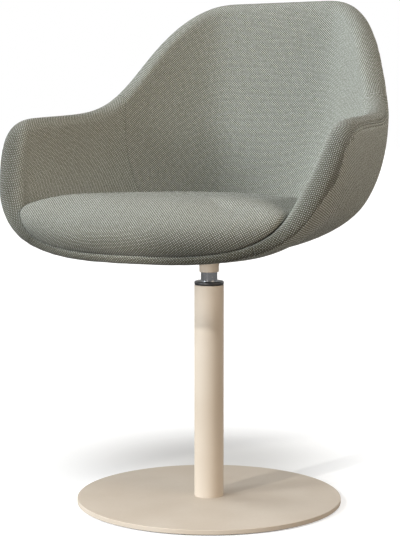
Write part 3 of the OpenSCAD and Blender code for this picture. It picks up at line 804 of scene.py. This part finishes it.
# %% Depth of the seams
roll_radius = 3.0 * MM
roll_depth = 2.6 * MM
edge_slope = 0.02
cross_share = 0.6
plain_share = 0.5
stitch_offset = 4.7 * MM
channel_depth = 1.8 * MM
channel_width = 1.4 * MM
pucker_depth = 0.3 * MM
pucker_length = 13 * MM
pucker_way = 1.9
draw_depth = 0.35 * MM
draw_reach = 9 * MM
seam_line = 0.2 * MM


def rolled_in(distance, radius=roll_radius, depth=roll_depth):
    """Depth of a rolled edge at a distance from its seam."""
    share = np.clip(1 - distance / radius, 0, 1)
    return depth * (1 - np.sqrt(1 - share ** 2 * (1 - edge_slope))) / (1 - math.sqrt(edge_slope))


def seam_depth(section, way):
    """How deep the cloth lies below the plain skin beside its seams."""
    rim, cross = rim_gap(section, way), cross_gap(section, way)
    stitched = stitched_share(section)
    depth = np.maximum(rolled_in(rim) * (plain_share + (1 - plain_share) * stitched),
                       rolled_in(cross) * cross_share)
    along = section * stretch_of(section, np.full_like(way, pucker_way), True)
    puckers = np.sin(2 * math.pi * along / pucker_length)
    channel = channel_depth * (1 + pucker_depth / channel_depth * puckers)
    channel = channel * np.exp(-((rim - stitch_offset) / channel_width) ** 2)
    drawn = draw_depth * (1 + puckers) * np.exp(-rim / draw_reach)
    return depth + channel * stitched + drawn * (rim > seam_line)


print("deepest fold", round(float(rolled_in(np.array(0.0))) / MM, 2), "mm")

# %% [markdown]
# A panel starts as a flat cut of cloth: a grid, which is then laid on the skin between two seams. The
# grid's lines crowd together beside the seams, where the cloth bends sharply, so the rest can stay wide.

# %% Flat cloth
side_steps = np.array([0.03, 0.06, 0.1, 0.16, 0.26])
side_room = 0.3
seam_steps = np.array([0, 0.5, 1.0, 1.6, 2.3, 3.1, 3.8, 4.6, 5.4, 6.3, 8.0]) * MM


def crowd(first, last, count):
    """Even lines between two sections, with more of them beside the seams at both ends."""
    inner = np.linspace(first, last, count)
    inner = inner[(inner > first + side_room) & (inner < last - side_room)]
    lines = np.concatenate([inner, [first, last], first + side_steps, last - side_steps])
    return np.unique(np.round(lines, 5))


def flat_cloth(name, columns, rows):
    """A flat grid of cloth, with the column and the row of each of its vertices."""
    cloth = add(bpy.ops.mesh.primitive_grid_add, name, x_subdivisions=columns - 1, y_subdivisions=rows - 1,
                size=2)
    places = coordinates(cloth)
    column = np.rint((places[:, 0] + 1) / 2 * (columns - 1)).astype(int)
    row = np.rint((places[:, 1] + 1) / 2 * (rows - 1)).astype(int)
    return cloth, column, row


print("lines beside the rim's seam:", len(seam_steps))

# %% [markdown]
# A laid cloth is unwrapped before it gets its thickness, with the method that keeps lengths. Its map is
# then scaled until it has the cloth's own area in square metres and turned upright, so the weave has its
# real size and its warp runs up the chair. The map's size is also the size of the flat cut.

# %% Unwrapping
unwrap_rounds = 12


def unwrap(cloth, up_pair):
    """Unwraps the cloth, scales its map to metres and turns it so that the pair of vertices runs upward."""
    while cloth.data.uv_layers:
        cloth.data.uv_layers.remove(cloth.data.uv_layers[0])
    cloth.data.uv_layers.new(name="cloth")
    edit(cloth, bpy.ops.uv.unwrap, method="MINIMUM_STRETCH", margin=0.01,
         iterations=unwrap_rounds)
    mesh = cloth.data
    flat = np.empty(len(mesh.loops) * 2)
    mesh.uv_layers["cloth"].data.foreach_get("uv", flat)
    flat = flat.reshape(-1, 2)
    corner = np.empty(len(mesh.loops), int)
    mesh.loops.foreach_get("vertex_index", corner)
    surface = sum(face.area for face in mesh.polygons)
    mapped = 0.0
    for face in mesh.polygons:
        ring = flat[face.loop_start:face.loop_start + face.loop_total]
        after = np.roll(ring, -1, axis=0)
        mapped += abs(np.sum(ring[:, 0] * after[:, 1] - ring[:, 1] * after[:, 0])) / 2
    scale = math.sqrt(surface / mapped)
    low, high = (flat[np.argmax(corner == vertex)] for vertex in up_pair)
    turn = math.pi / 2 - math.atan2(high[1] - low[1], high[0] - low[0])
    spin = np.array([[math.cos(turn), -math.sin(turn)], [math.sin(turn), math.cos(turn)]])
    flat = (flat - low) @ spin.T * scale
    mesh.uv_layers["cloth"].data.foreach_set("uv", flat.ravel())
    size = flat.max(axis=0) - flat.min(axis=0)
    return {"flat": (round(float(size[0]), 3), round(float(size[1]), 3)), "area": surface}


print("the weave's map is unwrapped in", unwrap_rounds, "rounds")

# %% [markdown]
# Cloth has a thickness of its own, which goes inward from its face. How hard it is pulled is noted on each
# of its points, for the weave's gaps to open and darken there: most on the arms' front edges and the lip,
# where the turn is tightest and where the cloth lies in shade, so that darkening is partly painted shade.

# %% Thickness, pull with painted shade, and finish
smooth_angle = math.radians(50)
# The pull's levels on the arms and the lip are set partly to paint shade there.
pull_everywhere = 0.2
pull_on_arm = 0.45
pull_on_lip = 0.4
arm_front = 0.6
arm_fade = 0.1
lip_start = 0.78
lip_fade = 0.08
pull_way = 1.1
pull_fade = 0.45


def thicken(cloth):
    """Gives a laid cloth its thickness, inward from its face."""
    apply_modifier(cloth, "SOLIDIFY", thickness=cover_thickness, offset=-1.0)


def mark_pull(cloth, values):
    """Notes on each vertex how hard the cloth is pulled there, which also sets painted shade."""
    noted = cloth.data.attributes.new("pull", "FLOAT", "POINT")
    noted.data.foreach_set("value", np.asarray(values, dtype=float))


def finish(piece, material):
    """Smooths a piece except at its sharp edges and gives it its material."""
    pick(piece)
    bpy.ops.object.shade_smooth_by_angle(angle=smooth_angle)
    dress(piece, material)


def rim_pull(section, way):
    """The pull over the rounded rim, raised on the arms' fronts and the lip partly as painted shade."""
    round_share = from_back(section)
    on_arm = ease((round_share - arm_front) / arm_fade)
    on_lip = ease((round_share - lip_start) / lip_fade)
    pulled = pull_everywhere + pull_on_arm * on_arm + pull_on_lip * on_lip
    return pulled * ease((way - pull_way) / pull_fade)


print("cloth", round(cover_thickness / MM, 2), "mm thick")

# %% [markdown]
# Each inner panel reaches from the deck up the inner face and over the rim to its seam. Its rows are even
# up to the folds and then keep set distances from the seam, so that the folds have the same lines
# everywhere.

# %% A panel
panel_rows = 34
upright_rows = (10, 20)


def lay_panel(name, first, last, count):
    """Cuts and lays a panel between two cross seams."""
    lines = crowd(first, last, count)
    inner_rows = np.linspace(0, 1, panel_rows)
    rows = len(inner_rows) + len(seam_steps) - 1
    cloth, column, row = flat_cloth(name, len(lines), rows)
    section = lines[column]
    last_even = way_beside_seam(section, -seam_steps[-1])
    even = deck_share + (last_even - deck_share) * inner_rows[np.minimum(row, len(inner_rows) - 1)]
    beside = way_beside_seam(section, -seam_steps[np.clip(rows - 1 - row, 0, len(seam_steps) - 1)])
    way = np.where(row < len(inner_rows), even, beside)
    move_vertices(cloth, skin(section, way, seam_depth(section, way)))
    centre = len(lines) // 2
    pair = [int(np.flatnonzero((column == centre) & (row == k))[0]) for k in upright_rows]
    facts = unwrap(cloth, pair)
    mark_pull(cloth, rim_pull(section, way))
    thicken(cloth)
    finish(cloth, wool_weave)
    print(name, facts)
    return cloth, facts


print("rows of a panel:", panel_rows + len(seam_steps) - 1)

# %% [markdown]
# The inner back is the largest panel. The two arm panels cover the inner face of each arm, turn over its
# top and come round its front edge. The lip panel is a strip over the low front edge, under the cushion.

# %% Inner panels
back_columns = 80
arm_columns = 56
lip_columns = 44

panels = {}
panels["back_panel"] = lay_panel("back_panel", -arm_seam, arm_seam, back_columns)
panels["left_arm_panel"] = lay_panel("left_arm_panel", arm_seam, lip_seam, arm_columns)
panels["right_arm_panel"] = lay_panel(
    "right_arm_panel", sections - lip_seam, sections - arm_seam, arm_columns)
panels["lip_panel"] = lay_panel("lip_panel", lip_seam, sections - lip_seam, lip_columns)

# %% [markdown]
# The outer cover goes all round the shell and under it. It is laid from a cut at the middle of the front,
# where its two ends are joined again, and it is unwrapped in two pieces with the join at the heel, below
# the turn of the wall, where nobody sees the warp change its direction.

# %% Outer cover
heel_way = 2.52
middle_hole = 0.02
weld_distance = 0.01 * MM
outer_columns = 239
outer_rows = 26


def merge_ends(cloth, row, last_row):
    """Joins the first and the last column of a cloth that goes all round, and closes its middle."""
    pick(cloth)
    bpy.ops.object.mode_set(mode="EDIT")
    bpy.ops.mesh.select_all(action="DESELECT")
    bpy.ops.object.mode_set(mode="OBJECT")
    for vertex in np.flatnonzero(row == last_row):
        cloth.data.vertices[int(vertex)].select = True
    bpy.ops.object.mode_set(mode="EDIT")
    bpy.ops.mesh.select_mode(type="VERT")
    bpy.ops.mesh.merge(type="CENTER", uvs=False)
    bpy.ops.object.mode_set(mode="OBJECT")
    edit(cloth, bpy.ops.mesh.remove_doubles, threshold=weld_distance)


lines = np.linspace(sections / 2, sections / 2 + sections, outer_columns)
wall_rows = np.linspace(0, 1, outer_rows)
heel_rows = np.linspace(heel_way, 4 - middle_hole, outer_rows)[1:]
rows = len(seam_steps) - 1 + len(wall_rows) + len(heel_rows)
outer, column, row = flat_cloth("outer_panel", len(lines), rows)
section = lines[column]
near = way_beside_seam(section, seam_steps[np.clip(row, 0, len(seam_steps) - 1)])
start = way_beside_seam(section, seam_steps[-1])
wall_row = np.clip(row - len(seam_steps) + 1, 0, len(wall_rows) - 1)
wall_way = start + (heel_way - start) * wall_rows[wall_row]
heel_row = np.clip(row - len(seam_steps) - len(wall_rows) + 1, 0, len(heel_rows) - 1)
way = np.where(row < len(seam_steps) + len(wall_rows) - 1, wall_way, heel_rows[heel_row])
way = np.where(row < len(seam_steps), near, way)
move_vertices(outer, skin(section, way, seam_depth(section, way)))
on_cut = row == len(seam_steps) + len(wall_rows) - 2
for edge in outer.data.edges:
    edge.use_seam = bool(on_cut[edge.vertices[0]] and on_cut[edge.vertices[1]])
pair = [int(np.flatnonzero((column == len(lines) // 2) & (row == k))[0]) for k in (25, 15)]
outer_facts = unwrap(outer, pair)
merge_ends(outer, row, rows - 1)
print("outer_panel", outer_facts, "vertices", len(outer.data.vertices))

# %% [markdown]
# The deck under the cushion is a plain round of the same cloth. It is closed first and unwrapped after, as
# one piece, and turned so that its warp runs from front to back.

# %% Deck
deck_columns = 137
deck_row_count = 16

deck_lines = np.linspace(0, sections, deck_columns)
deck_rows = np.linspace(deck_share, middle_hole - 1, deck_row_count)
deck, column, row = flat_cloth("deck_panel", len(deck_lines), len(deck_rows))
move_vertices(deck, skin(deck_lines[column], deck_rows[row]))
merge_ends(deck, row, len(deck_rows) - 1)
plan = coordinates(deck)[:, :2]
pair = [int(np.argmin(np.linalg.norm(plan - [0, y], axis=1))) for y in (-60 * MM, 60 * MM)]
deck_facts = unwrap(deck, pair)
print("deck_panel", deck_facts)

# %% [markdown]
# Four bolts come up through the underside. Round holes let them through the cover, cut with the same four
# cylinders for each layer that they pass.

# %% Bolt holes
bolt_spacing = 100 * MM
bolt_hole = 9.5 * MM



def bolt_cutter():
    """Four cylinders that stand where the bolts pass."""
    made = []
    for x in (-1, 1):
        for y in (-1, 1):
            made.append(add(
                bpy.ops.mesh.primitive_cylinder_add, "bolt_cutter", vertices=24, radius=bolt_hole / 2,
                depth=lip_thickness,
                location=(x * bolt_spacing / 2, y * bolt_spacing / 2, pan_height - lip_thickness / 2)))
    for piece in made:
        piece.select_set(True)
    bpy.ops.object.join()
    bpy.ops.object.transform_apply()
    return bpy.context.object


def drill(piece, cutter):
    apply_modifier(piece, "BOOLEAN", operation="DIFFERENCE", object=cutter, solver="EXACT")


cutter = bolt_cutter()
thicken(outer)
drill(outer, cutter)
finish(outer, wool_weave)
thicken(deck)
finish(deck, wool_weave)
panels["outer_panel"] = (outer, outer_facts)
panels["deck_panel"] = (deck, deck_facts)
print("panels:", len(panels))

# %% [markdown]
# Under the cloth lies the padding, one thick closed form with a slot for the moulded core. It is made of
# two closed skins at different depths: the outer one just under the cover and deeper below the seams, and
# the inner one round the core, which is cut out of it.

# %% Closed skins
def closed_skin(name, columns, way_lines, sink_at, half=None):
    """A closed form from the shell's skin, from the deck's middle round to the underside's middle."""
    around = np.linspace(0, sections, columns)
    form, column, row = flat_cloth(name, columns, len(way_lines))
    section, way = around[column], way_lines[row]
    places = skin(section, way, sink_at(section, way), half)
    for end_row in (0, len(way_lines) - 1):
        places[row == end_row] = places[row == end_row].mean(axis=0)
    move_vertices(form, places)
    edit(form, bpy.ops.mesh.remove_doubles, threshold=weld_distance)
    edit(form, bpy.ops.mesh.normals_make_consistent, inside=False)
    return form


def lines_round(middle, face, turn):
    """Ways from the deck's middle up the inner face, over the rim and down to the underside's."""
    spans = [(-1, 0, middle), (0, 1, face), (1, 2, turn), (2, 3, face), (3, 4, middle)]
    return np.concatenate([[-1.0]] + [np.linspace(*span)[1:] for span in spans])


print("lines of the padding:", len(lines_round(6, 26, 14)))

# %% [markdown]
# The padding's edge is rounder than the cover's, and it gives way a little more below each seam, because
# the thread pulls the cover into it. The slot and the bolt holes are cut last.

# %% Padding
padding_gap = 0.4 * MM
padding_roll = 9 * MM
padding_roll_depth = 2.4 * MM
padding_draw = 1.2 * MM
padding_draw_reach = 6 * MM
padding_columns = 205
slot_columns = 137


def padding_sink(section, way):
    """How deep the padding lies below the skin."""
    gap = np.minimum(rim_gap(section, way), cross_gap(section, way))
    drawn = padding_draw * np.exp(-gap / padding_draw_reach)
    return cover_thickness + padding_gap + rolled_in(gap, padding_roll, padding_roll_depth) + drawn


padding = closed_skin("shell_padding", padding_columns, lines_round(6, 26, 14), padding_sink)
slot_half = core_thickness / 2 + layer_gap
slot = closed_skin("core_slot", slot_columns, lines_round(4, 20, 5),
                   lambda section, way: np.zeros_like(way), slot_half)
apply_modifier(padding, "BOOLEAN", operation="DIFFERENCE", object=slot, solver="EXACT")
drill(padding, cutter)
for spare in (slot, cutter):
    bpy.data.objects.remove(spare)
finish(padding, upholstery_foam)
print("shell_padding faces:", len(padding.data.polygons))

# %% [markdown]
# The topstitching is real thread. One short stitch is modelled once, as a slim rounded bar with few faces,
# because it repeats hundreds of times.

# %% One stitch
stitch_length = 5.2 * MM
thread_radius = 0.42 * MM

stitch = add(bpy.ops.mesh.primitive_uv_sphere_add, "stitch", segments=6, ring_count=5, radius=1)
stitch.data.transform(Matrix.Diagonal((stitch_length / 2, thread_radius, thread_radius, 1)))
stitch_places = coordinates(stitch)
stitch_faces = [list(face.vertices) for face in stitch.data.polygons]
bpy.data.objects.remove(stitch)
print("faces of a stitch:", len(stitch_faces))

# %% [markdown]
# The stitches stand along two lines, one on each side of the rim's seam, each turned to run with its line
# and to lie flat on the cloth. They all go into one mesh, so the thread is one piece.

# %% Topstitching
stitch_pitch = 6.6 * MM
thread_lift = 0.1 * MM
stitch_least = 0.4
line_points = 2001


def along_line(at, run, places):
    """The point at a distance along a line of points."""
    return np.array([np.interp(at, run, places[:, i]) for i in range(3)])


corners, faces = [], []
dense = np.linspace(0, sections, line_points)
for side in (-1, 1):
    way = way_beside_seam(dense, side * stitch_offset)
    sunk = seam_depth(dense, way)
    line = skin(dense, way, sunk)
    deep = skin(dense, way, sunk + MM)
    run = np.concatenate([[0], np.cumsum(np.linalg.norm(np.diff(line, axis=0), axis=1))])
    count = int(run[-1] / stitch_pitch)
    for k in range(count):
        at = (k + 0.5) * run[-1] / count
        if stitched_share(np.interp(at, run, dense)) < stitch_least:
            continue
        middle = along_line(at, run, line)
        forward = unit(along_line(at + MM, run, line) - along_line(at - MM, run, line))
        out = unit(middle - along_line(at, run, deep))
        aside = np.cross(out, forward)
        faces += [[v + len(corners) * len(stitch_places) for v in face] for face in stitch_faces]
        corners.append(middle + thread_lift * out + stitch_places @ np.array([forward, aside, out]))
mesh = bpy.data.meshes.new("topstitching")
mesh.from_pydata(np.concatenate(corners).tolist(), [], faces)
topstitching = bpy.data.objects.new("topstitching", mesh)
bpy.context.scene.collection.objects.link(topstitching)
pick(topstitching)
bpy.ops.object.shade_smooth()
dress(topstitching, sewing_thread)
print("stitches:", len(corners))

# %% [markdown]
# The cushion lies loose in the shell. Its lower edge follows the inner face of the arms and back and, at
# the front, the rounding of the lip. First the way is found at which each section reaches the height of
# that edge.

# %% Edge of the cushion
cushion_rise = 74 * MM
cushion_slope = 0.03
side_gap = 2.4 * MM
lip_way = 1.31
edge_drop = 14 * MM
even_width = 9
edge_points = 273
tried_ways = 300

edge_sections = np.linspace(0, sections, edge_points)


def cushion_top(y):
    return pan_height + cushion_rise - cushion_slope * y


def find_edge_ways():
    """The way at which each section reaches the height of the cushion's lower edge."""
    found = []
    ways = np.linspace(0, lip_way, tried_ways)
    for section in edge_sections:
        points = skin(np.full_like(ways, section), ways, -side_gap)
        over = points[:, 2] - (cushion_top(points[:, 1]) - edge_drop)
        above = np.flatnonzero(over > 0)
        if len(above) == 0:
            found.append(lip_way)
            continue
        k = above[0]
        found.append(np.interp(0, [over[k - 1], over[k]], [ways[k - 1], ways[k]]))
    return np.array(found)


raw_ways = find_edge_ways()
spare = even_width // 2
window = np.hanning(even_width) / np.hanning(even_width).sum()
closed_ways = np.concatenate([raw_ways[-spare - 1:-1], raw_ways, raw_ways[1:spare + 1]])
edge_ways = np.convolve(closed_ways, window, mode="valid")
edge_line = skin(edge_sections, edge_ways, -side_gap)
cushion_middle = np.array([0, (edge_line[:, 1].max() + edge_line[:, 1].min()) / 2])
free_height = cushion_top(edge_line[:, 1]) - edge_line[:, 2]
print("cushion:", np.ptp(edge_line, axis=0).round(3), "edge ways", edge_ways.min().round(3),
      edge_ways.max().round(3))

# %% [markdown]
# From its edge the cover rises, bulges a little over the lip at the front, rounds over and runs up to a low
# crown. That profile is worked out for shares of the height: 0 at the edge and 1 in the middle of the top.
# The free share is 1 at the front, where nothing stands beside the cushion, and 0 along the back.

# %% Profile of the cushion
side_reach = 42 * MM
front_reach = 105 * MM
front_overhang = 10 * MM
upright_share = 0.25
rounding_power = 2.2
upright_part = 0.2
turn_part = 0.46
bulge_end = 0.85
# Up to this height on the front, the cushion's pull darkens the weave, partly as painted shade.
pull_end = 0.9


def cushion_profile(upper, reach, free_share):
    """How far out and how far up the cover is, both as shares, and how far it bulges."""
    flat_end = 1 - (side_reach + (front_reach - side_reach) * free_share) / reach
    turning = (1 - np.clip((upper - upright_part) / (turn_part - upright_part), 0, 1)) * math.pi / 2
    out_turn = np.sin(turning) ** (2 / rounding_power)
    up_turn = np.cos(turning) ** (2 / rounding_power)
    inner = np.clip((1 - upper) / (1 - turn_part), 0, 1)
    out = np.where(upper < turn_part, flat_end + (1 - flat_end) * out_turn, flat_end * inner)
    up = np.where(upper < turn_part, upright_share + (1 - upright_share) * up_turn, 1.0)
    under_turn = np.clip(upper / upright_part, 0, 1) * math.pi / 2
    up = np.where(upper < upright_part, upright_share * (1 - np.cos(under_turn)), up)
    over_turn = np.clip((up - upright_share) / (bulge_end - upright_share), 0, 1) * math.pi / 2
    return out, up, free_share * front_overhang * np.sin(under_turn) * np.cos(over_turn) ** 2


print("the profile bulges by", round(front_overhang / MM), "mm at the front")

# %% [markdown]
# The cushion starts as a ball with square faces, so it is all quads and has no poles. Each vertex of the
# ball looks in some direction. How far round that is gives the section, and how far up gives the place on
# the profile: over the top for the upper half, and along the shell's skin for the lower half.

# %% Form of the cushion
crown_rise = 12 * MM
under_gap = 0.5 * MM
deck_part = 0.35
cushion_cuts = 33


def cushion_form(name, cuts):
    """The cushion's closed form, with each vertex's height on the ball, its share outward and its pull, which
    on its front is partly painted shade.
    """
    form = add(bpy.ops.mesh.primitive_cube_add, name, size=2)
    edit(form, bpy.ops.mesh.subdivide, number_cuts=cuts)
    ball = unit(np.tan(coordinates(form) * math.pi / 4))
    bearing = np.arctan2(ball[:, 0], ball[:, 1]) % (2 * math.pi)
    rise = np.arcsin(np.clip(ball[:, 2], -1, 1)) / (math.pi / 2)

    away = edge_line[:, :2] - cushion_middle
    section = np.interp(bearing, np.unwrap(np.arctan2(away[:, 0], away[:, 1])), edge_sections)
    way = np.interp(section, edge_sections, edge_ways)
    edge = skin(section, way, -side_gap)
    outward = edge[:, :2] - cushion_middle
    reach = np.linalg.norm(outward, axis=1)
    free = np.interp(section, edge_sections, free_height)
    free_share = np.clip((free - free_height.min()) / np.ptp(free_height), 0, 1)

    out, up, bulge = cushion_profile(np.clip(rise, 0, 1), reach, free_share)
    top_xy = cushion_middle + outward * (out + bulge / reach)[:, None]
    top_z = cushion_top(top_xy[:, 1]) + crown_rise * (1 - out ** 2)
    over = np.column_stack([top_xy, edge[:, 2] + (top_z - edge[:, 2]) * up])

    lower = 1 + np.clip(rise, -1, 0)
    up_side = way * (lower - deck_part) / (1 - deck_part)
    under_way = np.where(lower > deck_part, up_side, lower / deck_part - 1)
    lift = under_gap + (side_gap - under_gap) * np.clip(1 + under_way, 0, 1)
    under = skin(section, under_way, -np.where(under_way > 0, side_gap, lift))
    move_vertices(form, np.where((rise >= 0)[:, None], over, under))
    edit(form, bpy.ops.mesh.normals_make_consistent, inside=False)
    # The pull, highest low on the front, darkens the weave there partly as painted shade.
    return form, rise, out, free_share * (1 - ease(up / pull_end)) * (rise >= 0)


cushion, cushion_up, cushion_out, cushion_pull = cushion_form("seat_cushion", cushion_cuts)
print("seat_cushion faces:", len(cushion.data.polygons))

# %% [markdown]
# A stuffed cushion is tight: its filling presses the cover out. That is simulated as cloth with pressure
# inside, held along the underside and the seam, for a few steps.

# %% Pressure in the cushion
swell_frames = 14
swell_pressure = 5.0


def swell(piece, held):
    """Runs cloth with pressure on a closed piece and returns where its vertices end."""
    group = piece.vertex_groups.new(name="held")
    group.add([int(v) for v in np.flatnonzero(held)], 1.0, "REPLACE")
    cloth = piece.modifiers.new("swell", "CLOTH")
    cloth.settings.quality = 6
    cloth.settings.mass = 0.3
    cloth.settings.tension_stiffness = 40
    cloth.settings.compression_stiffness = 40
    cloth.settings.bending_stiffness = 1.0
    cloth.settings.use_pressure = True
    cloth.settings.uniform_pressure_force = swell_pressure
    cloth.settings.vertex_group_mass = group.name
    cloth.settings.effector_weights.gravity = 0
    cloth.collision_settings.use_collision = False
    cloth.point_cache.frame_start = 1
    cloth.point_cache.frame_end = swell_frames
    scene = bpy.context.scene
    for step in range(1, swell_frames + 1):
        scene.frame_set(step)
    shape = piece.evaluated_get(bpy.context.evaluated_depsgraph_get())
    ends = coordinates(shape).copy()
    piece.modifiers.remove(cloth)
    piece.vertex_groups.clear()
    scene.frame_set(1)
    return ends


print("swelling runs for", swell_frames, "frames")

# %% [markdown]
# Afterwards every point's move is capped, least at the edge, so that the cover swells but stays clear of
# the arms and the back.

# %% Swelling of the cushion
swell_cap = 7 * MM
edge_cap = 1.2 * MM
cap_fade = 0.25
held_below = 0.02

start = coordinates(cushion)
move = swell(cushion, cushion_up <= held_below) - start
length = np.linalg.norm(move, axis=1)
cap = edge_cap + (swell_cap - edge_cap) * ease((1 - cushion_out) / cap_fade)
capped = np.minimum(length, cap)
move_vertices(cushion, start + move * (capped / np.maximum(length, 1e-9))[:, None])
print("swelled by up to", round(float(capped.max()) / MM, 1), "mm, uncapped",
      round(float(length.max()) / MM, 1))

# %% [markdown]
# The cover of the cushion is sewn along its lower edge, out of sight, so that edge is the cut for its map.
# Then one level of subdivision smooths the cover.

# %% Cover of the cushion
axis_room = 4 * MM
on_edge = np.abs(cushion_up) < 1e-6
for edge in cushion.data.edges:
    edge.use_seam = bool(on_edge[edge.vertices[0]] and on_edge[edge.vertices[1]])
places = coordinates(cushion)
near_axis = np.flatnonzero((cushion_up > 0) & (np.abs(places[:, 0]) < axis_room))
order = near_axis[np.argsort(places[near_axis, 1])]
cushion_facts = unwrap(cushion, [int(order[len(order) // 3]), int(order[2 * len(order) // 3])])
mark_pull(cushion, cushion_pull)
apply_modifier(cushion, "SUBSURF", levels=1, render_levels=1)
print("cushion cover", cushion_facts)

# %% [markdown]
# The filling is a copy of the cover's form, smoothed so that its edge is rounder, and drawn in below the
# cover by the cloth's thickness and a small gap. Then the cover gets its own thickness.

# %% Filling of the cushion
filling_gap = 1.0 * MM
smoothing_rounds = 22

pick(cushion)
bpy.ops.object.duplicate()
filling = named("cushion_filling")
apply_modifier(filling, "SMOOTH", factor=0.5, iterations=smoothing_rounds)
apply_modifier(filling, "DISPLACE", strength=-(cover_thickness + filling_gap), mid_level=0.0)
pick(filling)
bpy.ops.object.shade_smooth()
dress(filling, upholstery_foam)
thicken(cushion)
finish(cushion, wool_weave)
print("filling lies", round((cover_thickness + filling_gap) / MM, 1), "mm below the cover's face")

# %% [markdown]
# Last, each new piece rides on the seat's body, and where it stands for a solid of the imported model,
# that solid is hidden.

replaced = {
    "back_panel": "back_cover", "left_arm_panel": "left_arm_cover", "right_arm_panel": "right_arm_cover",
    "lip_panel": "front_lip_cover", "outer_panel": "outer_cover", "deck_panel": "deck_cover",
}
for name, node_name in replaced.items():
    piece, facts = panels[name]
    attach(piece, "seat")
    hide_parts(node_name)
    width, length = facts["flat"]
for piece, node_name, slot_name, fill in (
        (padding, "shell_foam", "foam", 0.9), (cushion, "cushion_cover", "weave", 0.8),
        (filling, "cushion_foam", "foam", 0.8)):
    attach(piece, "seat")
    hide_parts(node_name)
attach(topstitching, "seat")
